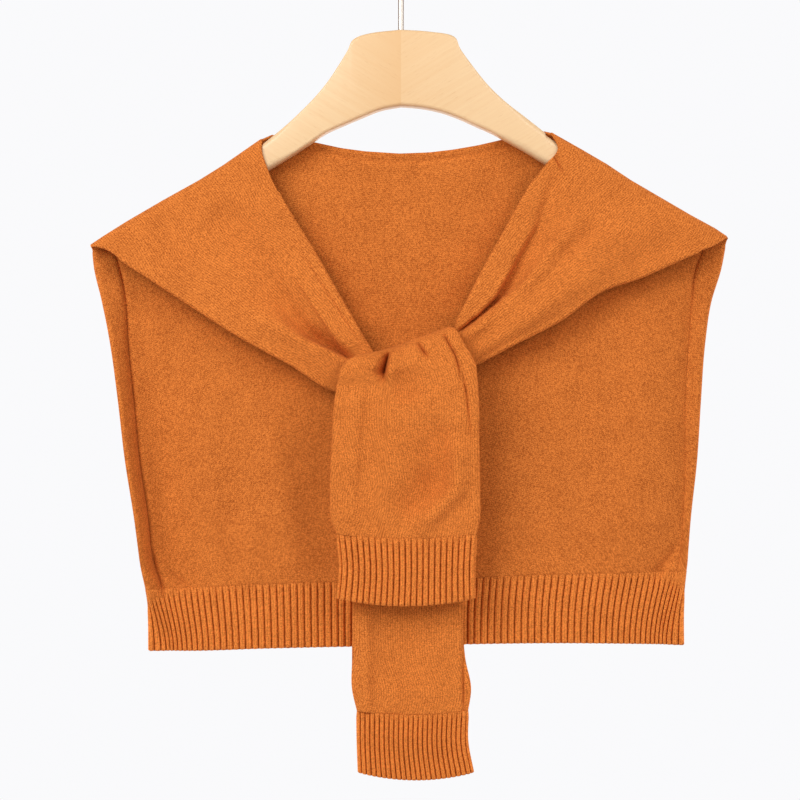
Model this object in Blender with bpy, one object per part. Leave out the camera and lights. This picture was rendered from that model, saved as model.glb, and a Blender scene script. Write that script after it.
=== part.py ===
"""Knit bolero shawl tied at the front, on a two-piece wooden hanger with a wire hook.

The tables are in millimetres. The origin is where the rod touches the inside of the hook,
+X is to the viewer's right, +Y is to the back and +Z is up.
"""
import math

import bmesh
import bpy
import numpy as np

MM = 0.001
WIDE, DEEP, HIGH = range(3)

# Cloth and seams
KNIT_THICK = 1.8
RIB_THICK = 2.0
SEAM_GAP = 0.3
CREST_RADIUS = 8.6        # how far the cloth stands from the middle of a hanger arm
CREST_DROP = 10.0         # height of the bend over an arm
TIP_RADIUS = 5.0          # the same bend past the end of an arm
TIP_LENGTH = 24.0         # how far from the tip that bend opens out
ARM_SLOPE = math.radians(31.0)

# Ribs
HEM_RIBS = 87
CUFF_RIBS = 48
HEM_RIDGE = 0.45
HEM_GROOVE = -0.75
CUFF_RIDGE = 0.4
CUFF_GROOVE = -0.5
HEM_SQUEEZE = 0.42        # how much closer the ribs look at the two turned ends
HEM_SQUEEZE_REACH = 0.035

# Hanger
WOOD_HALF_THICK = 7.0
WOOD_ROUNDING = 5.5
HOOK_WIRE_RADIUS = 2.0
HOOK_INNER_RADIUS = 19.0
HOOK_STEM_FOOT = -73.7
HOOK_STEM_TOP = -52.0
HOOK_JOIN_ANGLE = -60.0
HOOK_END_ANGLE = 205.0

# Knot
BAR_LEFT = -15.0
BAR_RIGHT = 27.0
BAR_LEFT_Z = -320.0
BAR_RIGHT_Z = -307.0
BAR_DEPTH_Y = -20.0
BAR_HALF_HEIGHT = 10.5
BAR_HALF_DEPTH = 8.5
KNOT_GAP = 1.0            # room between a drape's gathered end and the crossing
BAR_GATHERS = 7
BAR_GATHER_DEPTH = 1.0

# Neck
NECK_LEFT = -98.7         # last column that lies over the left arm
NECK_LEFT_INNER = -91.0   # first column behind the hanger
NECK_RIGHT_INNER = 98.0
NECK_RIGHT = 105.5
TRIM_HEIGHT = 6.0
TRIM_THICK = 1.4


def table(columns, *rows):
    """A table with named columns, one row for each section."""
    return dict(zip(columns.split(), np.array(rows, float).T))


# Outer line of the shoulders and the neck edge, from left to right.
# over is 1 where the cloth lies over a hanger arm and 0 where it hangs behind the hanger.
TOP_EDGE = table(
    "x z over",
    (-218.5, -226.0, 1),
    (-216.3, -223.1, 1),
    (-207.9, -217.5, 1),
    (-191.1, -207.0, 1),
    (-165.9, -192.3, 1),
    (-140.7, -178.3, 1),
    (-123.9, -167.8, 1),
    (NECK_LEFT, -150.3, 1),
    (NECK_LEFT_INNER, -146.0, 0),
    (-70.7, -153.5, 0),
    (-42.7, -157.3, 0),
    (0.0, -160.1, 0),
    (41.3, -157.3, 0),
    (69.3, -151.7, 0),
    (NECK_RIGHT_INNER, -141.5, 0),
    (NECK_RIGHT, -145.3, 1),
    (126.7, -157.3, 1),
    (143.5, -167.1, 1),
    (160.3, -178.3, 1),
    (177.1, -188.1, 1),
    (202.3, -202.8, 1),
    (219.1, -211.9, 1),
    (227.5, -217.5, 1),
    (229.0, -220.0, 1),
)

# Side edges of the panel, going down. The last strip at each side turns forward:
# turn is its width as seen and reach is how far its edge comes forward.
PANEL_SIDES = table(
    "z left right turn reach",
    (-222.0, -218.0, 228.5, 12.0, 2.5),
    (-240.0, -216.5, 226.5, 16.0, 6.5),
    (-262.0, -209.8, 217.5, 16.0, 8.5),
    (-290.0, -203.7, 212.8, 12.0, 8.0),
    (-332.0, -197.4, 209.3, 9.0, 7.0),
    (-374.0, -192.5, 206.5, 6.5, 6.0),
    (-416.0, -187.0, 201.8, 6.0, 5.5),
    (-444.0, -182.7, 200.2, 6.5, 6.0),
    (-472.0, -177.6, 197.6, 11.0, 7.0),
    (-510.0, -176.8, 197.4, 12.0, 7.0),
)

TURN_POWER = 0.85         # under 1, the turned strip bulges a little

# How far the panel hangs behind the hanger's middle
PANEL_HANG = table(
    "z y",
    (-140.0, 9.6),
    (-175.0, 9.2),
    (-235.0, 9.0),
    (-265.0, 8.4),
    (-300.0, 4.6),
    (-340.0, 0.4),
    (-380.0, -1.4),
    (-450.0, -2.0),
    (-510.0, -2.0),
)

# Soft folds of the panel: where they run, how wide they are, and how far back they go
PANEL_FOLDS = table(
    "x_top z_top x_end z_end half_width back",
    (-92.0, -345.0, -78.0, -462.0, 11.0, -2.6),
    (-62.0, -350.0, -58.0, -455.0, 13.0, 2.0),
    (-172.0, -430.0, -140.0, -470.0, 9.0, 2.4),
    (-160.0, -300.0, -168.0, -420.0, 16.0, 2.2),
    (118.0, -320.0, 128.0, -450.0, 15.0, 2.2),
    (160.0, -330.0, 152.0, -445.0, 14.0, -2.0),
    (190.0, -420.0, 168.0, -462.0, 9.0, 2.4),
)

HEM_LINES = table(
    "x top bottom",
    (-190.0, -464.8, -506.6),
    (-150.0, -464.2, -507.6),
    (-93.0, -461.5, -506.0),
    (0.0, -458.5, -504.0),
    (106.0, -455.0, -502.3),
    (200.0, -453.0, -503.2),
)

# The two edges of each sleeve's drape, from the shoulder to the knot
LEFT_INNER = table(
    "x z",
    (-96.8, -149.1),
    (-96.6, -158.7),
    (-92.8, -170.4),
    (-56.5, -236.0),
    (-25.0, -291.0),
    (-19.5, -300.5),
    (BAR_LEFT - KNOT_GAP, -311.5),
)
LEFT_OUTER = table(
    "x z",
    (-217.0, -225.2),
    (-207.2, -227.2),
    (-192.8, -236.2),
    (-153.8, -261.6),
    (-104.7, -292.4),
    (-76.5, -307.5),
    (-46.0, -325.8),
    (BAR_LEFT - KNOT_GAP, -328.5),
)
RIGHT_INNER = table(
    "x z",
    (104.5, -144.8),
    (108.8, -157.6),
    (100.3, -168.2),
    (68.9, -220.6),
    (46.4, -263.0),
    (38.0, -281.0),
    (36.8, -290.0),
    (BAR_RIGHT + KNOT_GAP, -299.0),
)
RIGHT_OUTER = table(
    "x z",
    (227.8, -220.0),
    (219.4, -225.0),
    (201.8, -232.0),
    (166.6, -246.8),
    (140.5, -255.9),
    (110.4, -276.9),
    (75.5, -295.0),
    (50.0, -308.3),
    (BAR_RIGHT + KNOT_GAP, -315.5),
)

# Folds that run along a drape. across is the place between the inner edge (0) and the
# outer edge (1), start is how far along the fold begins, and back is its depth at the knot.
LEFT_FOLDS = table(
    "across half_width start back",
    (0.02, 0.10, 0.10, -3.0),
    (0.16, 0.07, 0.15, 3.2),
    (0.30, 0.10, 0.35, -4.5),
    (0.50, 0.09, 0.42, 7.0),
    (0.74, 0.16, 0.25, -4.0),
    (0.97, 0.10, 0.50, 2.0),
)
RIGHT_FOLDS = table(
    "across half_width start back",
    (0.03, 0.08, 0.10, -3.5),
    (0.19, 0.09, 0.05, 6.0),
    (0.42, 0.12, 0.20, -5.0),
    (0.62, 0.08, 0.35, 3.0),
    (0.80, 0.10, 0.30, -3.5),
    (0.97, 0.08, 0.50, 2.0),
)
DRAPE_KNOT_Y = -20.0
DRAPE_ROW_POWER = 1.7     # rows lie closer together near the shoulder
DRAPE_LEAVES_ARM = 0.12   # share of the length after which a drape comes forward
CREST_SHARE = 0.35        # share of the length that still follows the shoulder line

# Tails and cuffs, flattened tubes: side edges going down, depth through the tube,
# and the distance in front of the origin.
TAIL_FRONT_WRAP = table(
    "turn left right depth",
    (-25.0, -12.0, 26.0, 5.2),
    (40.0, -13.0, 28.0, 5.4),
    (90.0, -15.5, 33.5, 5.6),
    (135.0, -25.0, 39.5, 5.8),
    (160.0, -35.5, 45.5, 6.0),
    (180.0, -40.0, 50.3, 6.2),
)
TAIL_FRONT_DROP = table(
    "z left right depth y",
    (-322.0, -43.0, 51.6, 6.6, -33.0),
    (-335.0, -44.8, 52.3, 7.0, -33.4),
    (-360.0, -46.4, 52.5, 7.6, -33.4),
    (-395.0, -47.7, 53.2, 8.4, -32.4),
    (-414.0, -46.8, 53.0, 8.8, -31.6),
    (-424.0, -43.0, 51.0, 8.6, -31.2),
)
CUFF_FRONT = table(
    "z left right depth y",
    (-424.3, -42.9, 50.8, 8.6, -31.2),
    (-446.0, -41.0, 49.4, 8.4, -30.6),
    (-468.0, -42.9, 49.6, 8.8, -30.0),
)
TAIL_BACK = table(
    "z left right depth y",
    (-327.0, -17.0, 25.0, 6.0, -17.5),
    (-352.0, -29.0, 36.0, 6.6, -16.5),
    (-385.0, -34.4, 41.6, 7.4, -15.0),
    (-460.0, -34.2, 42.3, 8.0, -14.0),
    (-512.0, -34.6, 43.8, 8.6, -13.8),
    (-532.0, -34.6, 47.6, 9.2, -13.8),
    (-547.0, -30.8, 45.6, 9.0, -13.8),
)
CUFF_BACK = table(
    "z left right depth y",
    (-547.3, -30.7, 45.5, 9.0, -13.8),
    (-568.0, -29.8, 45.2, 8.6, -13.6),
    (-590.0, -26.0, 49.2, 9.0, -13.4),
)
CUFF_SAG = 5.0            # how much lower the middle of a cuff's edge hangs
CUFF_TOP_SAG = 3.0        # the same at the seam above it
TAIL_TILT = 0.36          # rise of the tail over the knot, going right
TAIL_TILT_STARTS = 40.0   # turn, in degrees, over which the tilt comes in
TAIL_TILT_FADES = 110.0   # turn at which it begins to fade
TAIL_TILT_LEFT = 0.3      # share that is left at the front
TAIL_BACK_TILT = 0.31     # rise of the back tail's top under the knot
TAIL_BACK_TILT_LENGTH = 45.0
TAIL_WRAP_RADIUS_Y = 13.6
TAIL_WRAP_RADIUS_Z = 18.5

# Hanger sections from the middle joint to the tip: a point on the top line and one below it
HANGER_LEFT = table(
    "top_x top_z low_x low_z",
    (-SEAM_GAP / 2, -74.0, -SEAM_GAP / 2, -126.9),
    (-21.0, -76.4, -14.0, -129.6),
    (-33.2, -80.8, -27.3, -134.8),
    (-38.0, -89.8, -40.0, -140.2),
    (-49.7, -108.2, -52.5, -145.9),
    (-61.3, -122.4, -66.0, -154.8),
    (-77.0, -137.6, -80.0, -164.0),
    (-91.0, -149.0, -94.0, -172.8),
    (-98.0, -154.2, -101.0, -176.0),
    (-124.0, -171.8, -122.0, -188.5),
    (-150.0, -187.3, -145.0, -202.5),
    (-190.0, -209.3, -185.0, -223.8),
    (-197.0, -214.5, -192.0, -225.5),
)
HANGER_RIGHT = table(
    "top_x top_z low_x low_z",
    (SEAM_GAP / 2, -74.0, SEAM_GAP / 2, -126.9),
    (20.3, -75.4, 14.0, -128.1),
    (36.8, -78.7, 27.3, -130.8),
    (42.5, -89.0, 40.0, -135.2),
    (58.8, -110.4, 52.0, -140.6),
    (72.8, -124.2, 66.0, -147.0),
    (87.5, -135.2, 85.0, -158.0),
    (99.5, -144.6, 102.0, -168.4),
    (107.0, -151.2, 110.0, -172.0),
    (160.0, -181.2, 155.0, -197.5),
    (200.0, -204.6, 195.0, -219.3),
    (207.0, -209.2, 202.0, -221.0),
)

# How many points each grid, ring and path has
PANEL_TURN_COLUMNS = 3
PANEL_SHOULDER_COLUMNS = 8
PANEL_NECK_COLUMNS = 12
PANEL_BEND_ROWS = 4
PANEL_HANG_ROWS = 16
RIB_ROWS = 3
DRAPE_STRANDS = 19
DRAPE_ROWS = 18
KNOT_SECTIONS = 6
KNOT_COLUMNS = 36
TAIL_COLUMNS = 36
TAIL_WRAP_ROWS = 9
TAIL_DROP_ROWS = 7
TAIL_BACK_ROWS = 10
WOOD_CORNER_STEPS = 4
HOOK_BEND_STEPS = 8
HOOK_ROUND_STEPS = 28
HOOK_BEVEL_STEPS = 3

# Smaller rules of form
FOLD_FADE = 0.25          # share of a fold's length over which it fades at each end
SEAM_FACING = 0.75        # a seam is squared where it faces less than this along the axis
WOOD_ROUNDING_MOST = 0.9  # share of half the wood's height that the rounding may take
HOOK_HANDLE = 0.55        # how softly the stem bends into the round top
SHARP_ANGLE = math.radians(50.0)

# Finishes
GINGER = (0.63, 0.19, 0.035, 1.0)
BEECH = (0.83, 0.62, 0.38, 1.0)
STEEL = (0.66, 0.67, 0.68, 1.0)
YARN_ROUGHNESS = 0.9
WOOD_ROUGHNESS = 0.45
STEEL_ROUGHNESS = 0.3


def smooth(rows, along, value, at):
    """Value on the smooth curve through a table's rows."""
    place = rows[along]
    height = rows[value]
    if place[0] > place[-1]:
        place = place[::-1]
        height = height[::-1]
    slope = np.gradient(height, place)
    at = np.clip(at, place[0], place[-1])
    left = np.clip(np.searchsorted(place, at) - 1, 0, len(place) - 2)
    step = place[left + 1] - place[left]
    t = (at - place[left]) / step
    keep = (1 + 2 * t) * (1 - t) ** 2 * height[left]
    keep_slope = t * (1 - t) ** 2 * step * slope[left]
    take = t * t * (3 - 2 * t) * height[left + 1]
    take_slope = t * t * (t - 1) * step * slope[left + 1]
    return keep + keep_slope + take + take_slope


def straight(rows, along, value, at):
    """Value on the straight lines through a table's rows."""
    place = rows[along]
    if place[0] > place[-1]:
        return np.interp(at, place[::-1], rows[value][::-1])
    return np.interp(at, place, rows[value])


def ease(t):
    """A soft step from 0 to 1."""
    t = np.clip(t, 0.0, 1.0)
    return t * t * (3 - 2 * t)


def bump(distance):
    """A round bump, 1 in the middle and 0 past a distance of about 2."""
    return np.exp(-distance * distance)


def shell_normals(points, closed):
    """Unit normals of a grid of points, rows by columns."""
    down = np.gradient(points, axis=0)
    if closed:
        across = np.roll(points, -1, axis=1) - np.roll(points, 1, axis=1)
    else:
        across = np.gradient(points, axis=1)
    normal = np.cross(down, across)
    return normal / np.linalg.norm(normal, axis=2, keepdims=True)


def add_object(name, points, faces, colour, roughness, metallic=0.0):
    """A named mesh object with its own material, from points in millimetres."""
    mesh = bpy.data.meshes.new(name)
    mesh.from_pydata((np.asarray(points) * MM).tolist(), [], faces)
    shape = bmesh.new()
    shape.from_mesh(mesh)
    bmesh.ops.recalc_face_normals(shape, faces=shape.faces)
    shape.to_mesh(mesh)
    shape.free()
    mesh.shade_smooth()
    mesh.set_sharp_from_angle(angle=SHARP_ANGLE)
    thing = bpy.data.objects.new(name, mesh)
    bpy.context.collection.objects.link(thing)
    thing.data.materials.append(finish(name, colour, roughness, metallic))
    return thing


def finish(name, colour, roughness, metallic):
    """A plain material in the piece's own colour."""
    material = bpy.data.materials.new(name + "_finish")
    material.use_nodes = True
    shader = material.node_tree.nodes["Principled BSDF"]
    shader.inputs["Base Color"].default_value = colour
    shader.inputs["Roughness"].default_value = roughness
    shader.inputs["Metallic"].default_value = metallic
    return material


def add_wall(name, middle, thick, closed, lift=0.0, square=()):
    """A cloth wall round a grid of middle points. lift raises its outer points only.

    square names the rows whose cut edge faces straight along an axis, as (row, axis).
    """
    normal = shell_normals(middle, closed)
    for row, axis in square:
        seam = np.abs(normal[row, :, axis]) < SEAM_FACING
        normal[row, seam, axis] = 0.0
        normal[row] = normal[row] / np.linalg.norm(normal[row], axis=1, keepdims=True)
    outer = middle + normal * (thick / 2 + lift)
    inner = middle - normal * (thick / 2)
    rows, columns = middle.shape[:2]
    points = np.concatenate((outer.reshape(-1, 3), inner.reshape(-1, 3)))
    inside = rows * columns
    spans = columns if closed else columns - 1
    faces = []
    for row in range(rows - 1):
        for column in range(spans):
            beside = (column + 1) % columns
            a = row * columns + column
            b = row * columns + beside
            c = a + columns
            d = b + columns
            faces.append((a, b, d, c))
            faces.append((inside + a, inside + c, inside + d, inside + b))
    for row in (0, rows - 1):
        for column in range(spans):
            a = row * columns + column
            b = row * columns + (column + 1) % columns
            faces.append((a, inside + a, inside + b, b))
    if not closed:
        for column in (0, columns - 1):
            for row in range(rows - 1):
                a = row * columns + column
                c = a + columns
                faces.append((a, c, inside + c, inside + a))
    return add_object(name, points, faces, GINGER, YARN_ROUGHNESS)


def segment_bump(x, z, rows, index):
    """Bump round one fold line of a table, fading at its two ends."""
    start = np.array((rows["x_top"][index], rows["z_top"][index]))
    end = np.array((rows["x_end"][index], rows["z_end"][index]))
    line = end - start
    length = np.linalg.norm(line)
    along = ((x - start[0]) * line[0] + (z - start[1]) * line[1]) / length ** 2
    aside = ((x - start[0]) * line[1] - (z - start[1]) * line[0]) / length
    fade_in = ease((FOLD_FADE + along) / (2 * FOLD_FADE))
    fade_out = ease((FOLD_FADE + 1 - along) / (2 * FOLD_FADE))
    return bump(aside / rows["half_width"][index]) * fade_in * fade_out


def panel_depth(x, z):
    """How far back the panel or its hem lies at a place seen from the front."""
    y = smooth(PANEL_HANG, "z", "y", z)
    for index in range(len(PANEL_FOLDS["back"])):
        y = y + PANEL_FOLDS["back"][index] * segment_bump(x, z, PANEL_FOLDS, index)
    turn = smooth(PANEL_SIDES, "z", "turn", z)
    reach = smooth(PANEL_SIDES, "z", "reach", z)
    from_left = x - smooth(PANEL_SIDES, "z", "left", z)
    from_right = smooth(PANEL_SIDES, "z", "right", z) - x
    from_side = np.minimum(from_left, from_right)
    forward = np.clip(1 - from_side / turn, 0.0, 1.0) ** TURN_POWER
    return y - reach * forward


def panel_columns():
    """Share of the left turn, the flat part and the right turn that each column has passed."""
    tip = PANEL_SIDES["z"][0]
    left = PANEL_SIDES["left"][0] + PANEL_SIDES["turn"][0]
    right = PANEL_SIDES["right"][0] - PANEL_SIDES["turn"][0]
    flat_x = np.concatenate((
        np.linspace(left, NECK_LEFT, PANEL_SHOULDER_COLUMNS),
        np.linspace(NECK_LEFT_INNER, NECK_RIGHT_INNER, PANEL_NECK_COLUMNS),
        np.linspace(NECK_RIGHT, right, PANEL_SHOULDER_COLUMNS),
    ))
    flat = (flat_x - left) / (right - left)
    turned = np.linspace(0.0, 1.0, PANEL_TURN_COLUMNS + 1)[:-1]
    none = np.zeros(PANEL_TURN_COLUMNS)
    full = np.ones(PANEL_TURN_COLUMNS)
    left_share = np.concatenate((turned, np.ones(len(flat)), full))
    flat_share = np.concatenate((none, flat, full))
    right_share = np.concatenate((none, np.zeros(len(flat)), 1 - turned[::-1]))
    return left_share, flat_share, right_share, tip


def panel_grid():
    """Middle points of the back panel, from the shoulders down to the hem."""
    left_share, flat_share, right_share, tip = panel_columns()

    def column_x(z):
        z = np.minimum(z, tip)
        left = smooth(PANEL_SIDES, "z", "left", z)
        right = smooth(PANEL_SIDES, "z", "right", z)
        turn = smooth(PANEL_SIDES, "z", "turn", z)
        return left + turn * (left_share + right_share) + (right - left - 2 * turn) * flat_share

    top_x = column_x(np.full(len(flat_share), tip))
    top_z = straight(TOP_EDGE, "x", "z", top_x) - KNIT_THICK / 2
    over = straight(TOP_EDGE, "x", "over", top_x)
    low_x = column_x(np.full(len(flat_share), HEM_LINES["top"].mean()))
    low_z = smooth(HEM_LINES, "x", "top", low_x)
    grid = []
    for bend in np.linspace(0.0, 1.0, PANEL_BEND_ROWS):
        angle = bend * math.pi / 2
        z = top_z - CREST_DROP * (over * (1 - math.cos(angle)) + (1 - over) * bend)
        x = column_x(z)
        hang = panel_depth(x, z)
        y = over * (SEAM_GAP / 2 + (hang - SEAM_GAP / 2) * math.sin(angle)) + (1 - over) * hang
        grid.append(np.stack((x, y, z), axis=1))
    spring = top_z - CREST_DROP
    for drop in np.linspace(0.0, 1.0, PANEL_HANG_ROWS)[1:]:
        z = spring + (low_z - spring) * drop
        x = column_x(z)
        grid.append(np.stack((x, panel_depth(x, z), z), axis=1))
    return np.array(grid)


def add_panel_and_trim():
    """The back panel and the trim that follows its neck edge on the outside."""
    grid = panel_grid()
    add_wall("back_panel", grid, KNIT_THICK, closed=False, square=((0, DEEP), (-1, HIGH)))
    first = PANEL_TURN_COLUMNS + PANEL_SHOULDER_COLUMNS
    edge = grid[0, first:first + PANEL_NECK_COLUMNS]
    behind = KNIT_THICK / 2 + SEAM_GAP + TRIM_THICK / 2
    band = []
    for drop in (0.0, TRIM_HEIGHT / 2, TRIM_HEIGHT):
        row = edge.copy()
        row[:, HIGH] -= drop
        row[:, DEEP] = panel_depth(row[:, WIDE], row[:, HIGH]) + behind
        band.append(row)
    add_wall("neck_trim", np.array(band), TRIM_THICK, closed=False)


def rib_profile(ribs, ridge, groove):
    """Lift of each column: two points on a ridge, then one in a groove."""
    one_rib = (ridge, ridge, groove)
    return np.tile(one_rib, ribs)


def add_hem():
    """The ribbed hem, whose ends turn forward with the panel."""
    lift = rib_profile(HEM_RIBS, HEM_RIDGE, HEM_GROOVE)
    share = np.linspace(0.0, 1.0, len(lift))
    pace = 1 - HEM_SQUEEZE * (np.exp(-share / HEM_SQUEEZE_REACH) + np.exp((share - 1) / HEM_SQUEEZE_REACH))
    place = np.concatenate(((0.0,), np.cumsum((pace[1:] + pace[:-1]) / 2)))
    place = place / place[-1]
    grid = []
    for drop in np.linspace(0.0, 1.0, RIB_ROWS):
        level = HEM_LINES["top"].mean() + drop * (HEM_LINES["bottom"].mean() - HEM_LINES["top"].mean())
        left = smooth(PANEL_SIDES, "z", "left", level)
        right = smooth(PANEL_SIDES, "z", "right", level)
        x = left + (right - left) * place
        top = smooth(HEM_LINES, "x", "top", x) - SEAM_GAP
        z = top + (smooth(HEM_LINES, "x", "bottom", x) - top) * drop
        y = panel_depth(x, z) - lift
        grid.append(np.stack((x, y, z), axis=1))
    add_wall("back_hem", np.array(grid), RIB_THICK, closed=False, square=((0, HIGH),))


def edge_curve(edge, at):
    """Points along a drape's edge, by the share of its length."""
    steps = np.hypot(np.diff(edge["x"]), np.diff(edge["z"]))
    share = np.concatenate(((0.0,), np.cumsum(steps)))
    rows = {"share": share / share[-1], "x": edge["x"], "z": edge["z"]}
    return smooth(rows, "share", "x", at), smooth(rows, "share", "z", at)


def crest_height(x):
    """Height of the shoulder line over the arms, carried on in a straight line at the neck."""
    on_arm = TOP_EDGE["over"] > 0.5
    side = x < 0
    left = {key: TOP_EDGE[key][on_arm & (TOP_EDGE["x"] < 0)] for key in ("x", "z")}
    right = {key: TOP_EDGE[key][on_arm & (TOP_EDGE["x"] > 0)] for key in ("x", "z")}
    slope = math.tan(ARM_SLOPE)
    left_z = straight(left, "x", "z", x) + np.maximum(x - NECK_LEFT, 0) * slope
    right_z = straight(right, "x", "z", x) + np.maximum(NECK_RIGHT - x, 0) * slope
    return np.where(side, left_z, right_z) - KNIT_THICK / 2


def drape_grid(inner, outer, folds):
    """Middle points of a drape, rows from the shoulder to the knot, strands across."""
    across = np.linspace(0.0, 1.0, DRAPE_STRANDS)
    far_tip = outer["x"][0]
    grid = []
    for along in np.linspace(0.0, 1.0, DRAPE_ROWS) ** DRAPE_ROW_POWER:
        inner_x, inner_z = edge_curve(inner, along)
        outer_x, outer_z = edge_curve(outer, along)
        x = inner_x + (outer_x - inner_x) * across
        z = inner_z + (outer_z - inner_z) * across
        start_x = inner["x"][0] + (far_tip - inner["x"][0]) * across
        start_z = inner["z"][0] + (outer["z"][0] - inner["z"][0]) * across
        z = z + (crest_height(start_x) - start_z) * (1 - ease(along / CREST_SHARE))
        below = np.maximum((crest_height(x) - z) * math.cos(ARM_SLOPE), 0.0)
        beyond = ease((abs(far_tip) - np.abs(x)) / TIP_LENGTH)
        radius = TIP_RADIUS + (CREST_RADIUS - TIP_RADIUS) * beyond
        part = np.clip(below / radius, 0.0, 1.0)
        y = -SEAM_GAP / 2 - (radius - SEAM_GAP / 2) * np.sqrt(1 - (1 - part) ** 2)
        y = y + (DRAPE_KNOT_Y + CREST_RADIUS) * ease((along - DRAPE_LEAVES_ARM) / (1 - DRAPE_LEAVES_ARM))
        for index in range(len(folds["back"])):
            reach = ease((along - folds["start"][index]) / (1 - folds["start"][index]))
            shape = bump((across - folds["across"][index]) / folds["half_width"][index])
            y = y + folds["back"][index] * reach * shape
        grid.append(np.stack((x, y, z), axis=1))
    return np.array(grid)


def add_drapes():
    """The stretch of each mock sleeve from the shoulder to the knot."""
    sides = (
        ("sleeve_left_drape", LEFT_INNER, LEFT_OUTER, LEFT_FOLDS),
        ("sleeve_right_drape", RIGHT_INNER, RIGHT_OUTER, RIGHT_FOLDS),
    )
    for name, inner, outer, folds in sides:
        grid = drape_grid(inner, outer, folds)
        add_wall(name, grid, KNIT_THICK, closed=False, square=((0, DEEP), (-1, WIDE)))


def bar_middle_z(x):
    """Height of the middle of the stretch inside the knot."""
    return BAR_LEFT_Z + (BAR_RIGHT_Z - BAR_LEFT_Z) * (x - BAR_LEFT) / (BAR_RIGHT - BAR_LEFT)


def add_knot():
    """The gathered stretch that both sleeves share inside the knot."""
    points = []
    for x in np.linspace(BAR_LEFT, BAR_RIGHT, KNOT_SECTIONS):
        for step in range(KNOT_COLUMNS):
            angle = 2 * math.pi * step / KNOT_COLUMNS
            gather = BAR_GATHER_DEPTH * (1 - math.cos(BAR_GATHERS * angle)) / 2
            y = BAR_DEPTH_Y + (BAR_HALF_DEPTH - gather) * math.cos(angle)
            z = bar_middle_z(x) + (BAR_HALF_HEIGHT - gather) * math.sin(angle)
            points.append((x, y, z))
    faces = tube_faces(KNOT_SECTIONS, KNOT_COLUMNS)
    add_object("knot_crossing", points, faces, GINGER, YARN_ROUGHNESS)


def tube_faces(sections, around):
    """Faces of a solid lofted through rings, with a flat face at each end."""
    faces = [tuple(range(around)), tuple(range((sections - 1) * around, sections * around))]
    for section in range(sections - 1):
        for step in range(around):
            a = section * around + step
            b = section * around + (step + 1) % around
            faces.append((a, b, b + around, a + around))
    return faces


def flat_ring(columns, width, depth):
    """A flattened ring with round ends: offsets across and through, evenly spaced."""
    run = width - depth
    round_end = math.pi * depth / 2
    whole = 2 * (run + round_end)
    place = (np.arange(columns) + 0.5) / columns * whole
    across = np.empty(columns)
    through = np.empty(columns)
    for index, at in enumerate(place):
        if at < run:
            across[index] = at - run / 2
            through[index] = -depth / 2
        elif at < run + round_end:
            angle = (at - run) / round_end * math.pi
            across[index] = run / 2 + depth / 2 * math.sin(angle)
            through[index] = -depth / 2 * math.cos(angle)
        elif at < 2 * run + round_end:
            across[index] = run / 2 - (at - run - round_end)
            through[index] = depth / 2
        else:
            angle = (at - 2 * run - round_end) / round_end * math.pi
            across[index] = -run / 2 - depth / 2 * math.sin(angle)
            through[index] = depth / 2 * math.cos(angle)
    return across, through


def drop_ring(columns, row, sag):
    """Ring of a hanging tube at one height, lower in the middle by the sag."""
    width = row["right"] - row["left"]
    across, through = flat_ring(columns, width, row["depth"])
    x = (row["left"] + row["right"]) / 2 + across
    y = row["y"] + through
    z = row["z"] - sag * (1 - (2 * across / width) ** 2)
    return np.stack((x, y, z), axis=1)


def section_at(rows, z):
    """One row of a table at any height."""
    return {key: smooth(rows, "z", key, z) for key in rows}


def drop_grid(rows, columns, count, top_sag, low_sag):
    """Middle points of a hanging tube, from its top to its lower edge."""
    grid = []
    for share in np.linspace(0.0, 1.0, count):
        z = rows["z"][0] + (rows["z"][-1] - rows["z"][0]) * share
        sag = top_sag + (low_sag - top_sag) * share
        grid.append(drop_ring(columns, section_at(rows, z), sag))
    return np.array(grid)


def wrap_grid(columns, count):
    """Middle points of the front tail where it comes up behind the knot and over its top."""
    grid = []
    middle_x = (BAR_LEFT + BAR_RIGHT) / 2
    middle_z = bar_middle_z(middle_x)
    first = TAIL_FRONT_WRAP["turn"][0]
    last = TAIL_FRONT_WRAP["turn"][-1]
    for turn in np.linspace(first, last, count):
        left = smooth(TAIL_FRONT_WRAP, "turn", "left", turn)
        right = smooth(TAIL_FRONT_WRAP, "turn", "right", turn)
        depth = smooth(TAIL_FRONT_WRAP, "turn", "depth", turn)
        across, through = flat_ring(columns, right - left, depth)
        angle = math.radians(turn)
        x = (left + right) / 2 + across
        y = BAR_DEPTH_Y + (TAIL_WRAP_RADIUS_Y - through) * math.cos(angle)
        z = middle_z + (TAIL_WRAP_RADIUS_Z - through) * math.sin(angle)
        fade = ease((turn - TAIL_TILT_FADES) / (last - TAIL_TILT_FADES))
        tilt = TAIL_TILT * ease((turn - first) / TAIL_TILT_STARTS) * (1 - (1 - TAIL_TILT_LEFT) * fade)
        z = z + tilt * (x - middle_x)
        grid.append(np.stack((x, y, z), axis=1))
    return np.array(grid)


def add_tails():
    """The two free ends of the sleeves, open flattened tubes."""
    wrap = wrap_grid(TAIL_COLUMNS, TAIL_WRAP_ROWS)
    drop = drop_grid(TAIL_FRONT_DROP, TAIL_COLUMNS, TAIL_DROP_ROWS, 0.0, CUFF_TOP_SAG)
    front = np.concatenate((wrap, drop))
    back = drop_grid(TAIL_BACK, TAIL_COLUMNS, TAIL_BACK_ROWS, 0.0, CUFF_TOP_SAG)
    below_top = TAIL_BACK["z"][0] - back[:, :, HIGH]
    tilt = TAIL_BACK_TILT * (1 - ease(below_top / TAIL_BACK_TILT_LENGTH))
    back[:, :, HIGH] += tilt * (back[:, :, WIDE] - (BAR_LEFT + BAR_RIGHT) / 2)
    for name, grid in (("tail_front", front), ("tail_back", back)):
        add_wall(name, grid, KNIT_THICK, closed=True, square=((-1, HIGH),))


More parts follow.
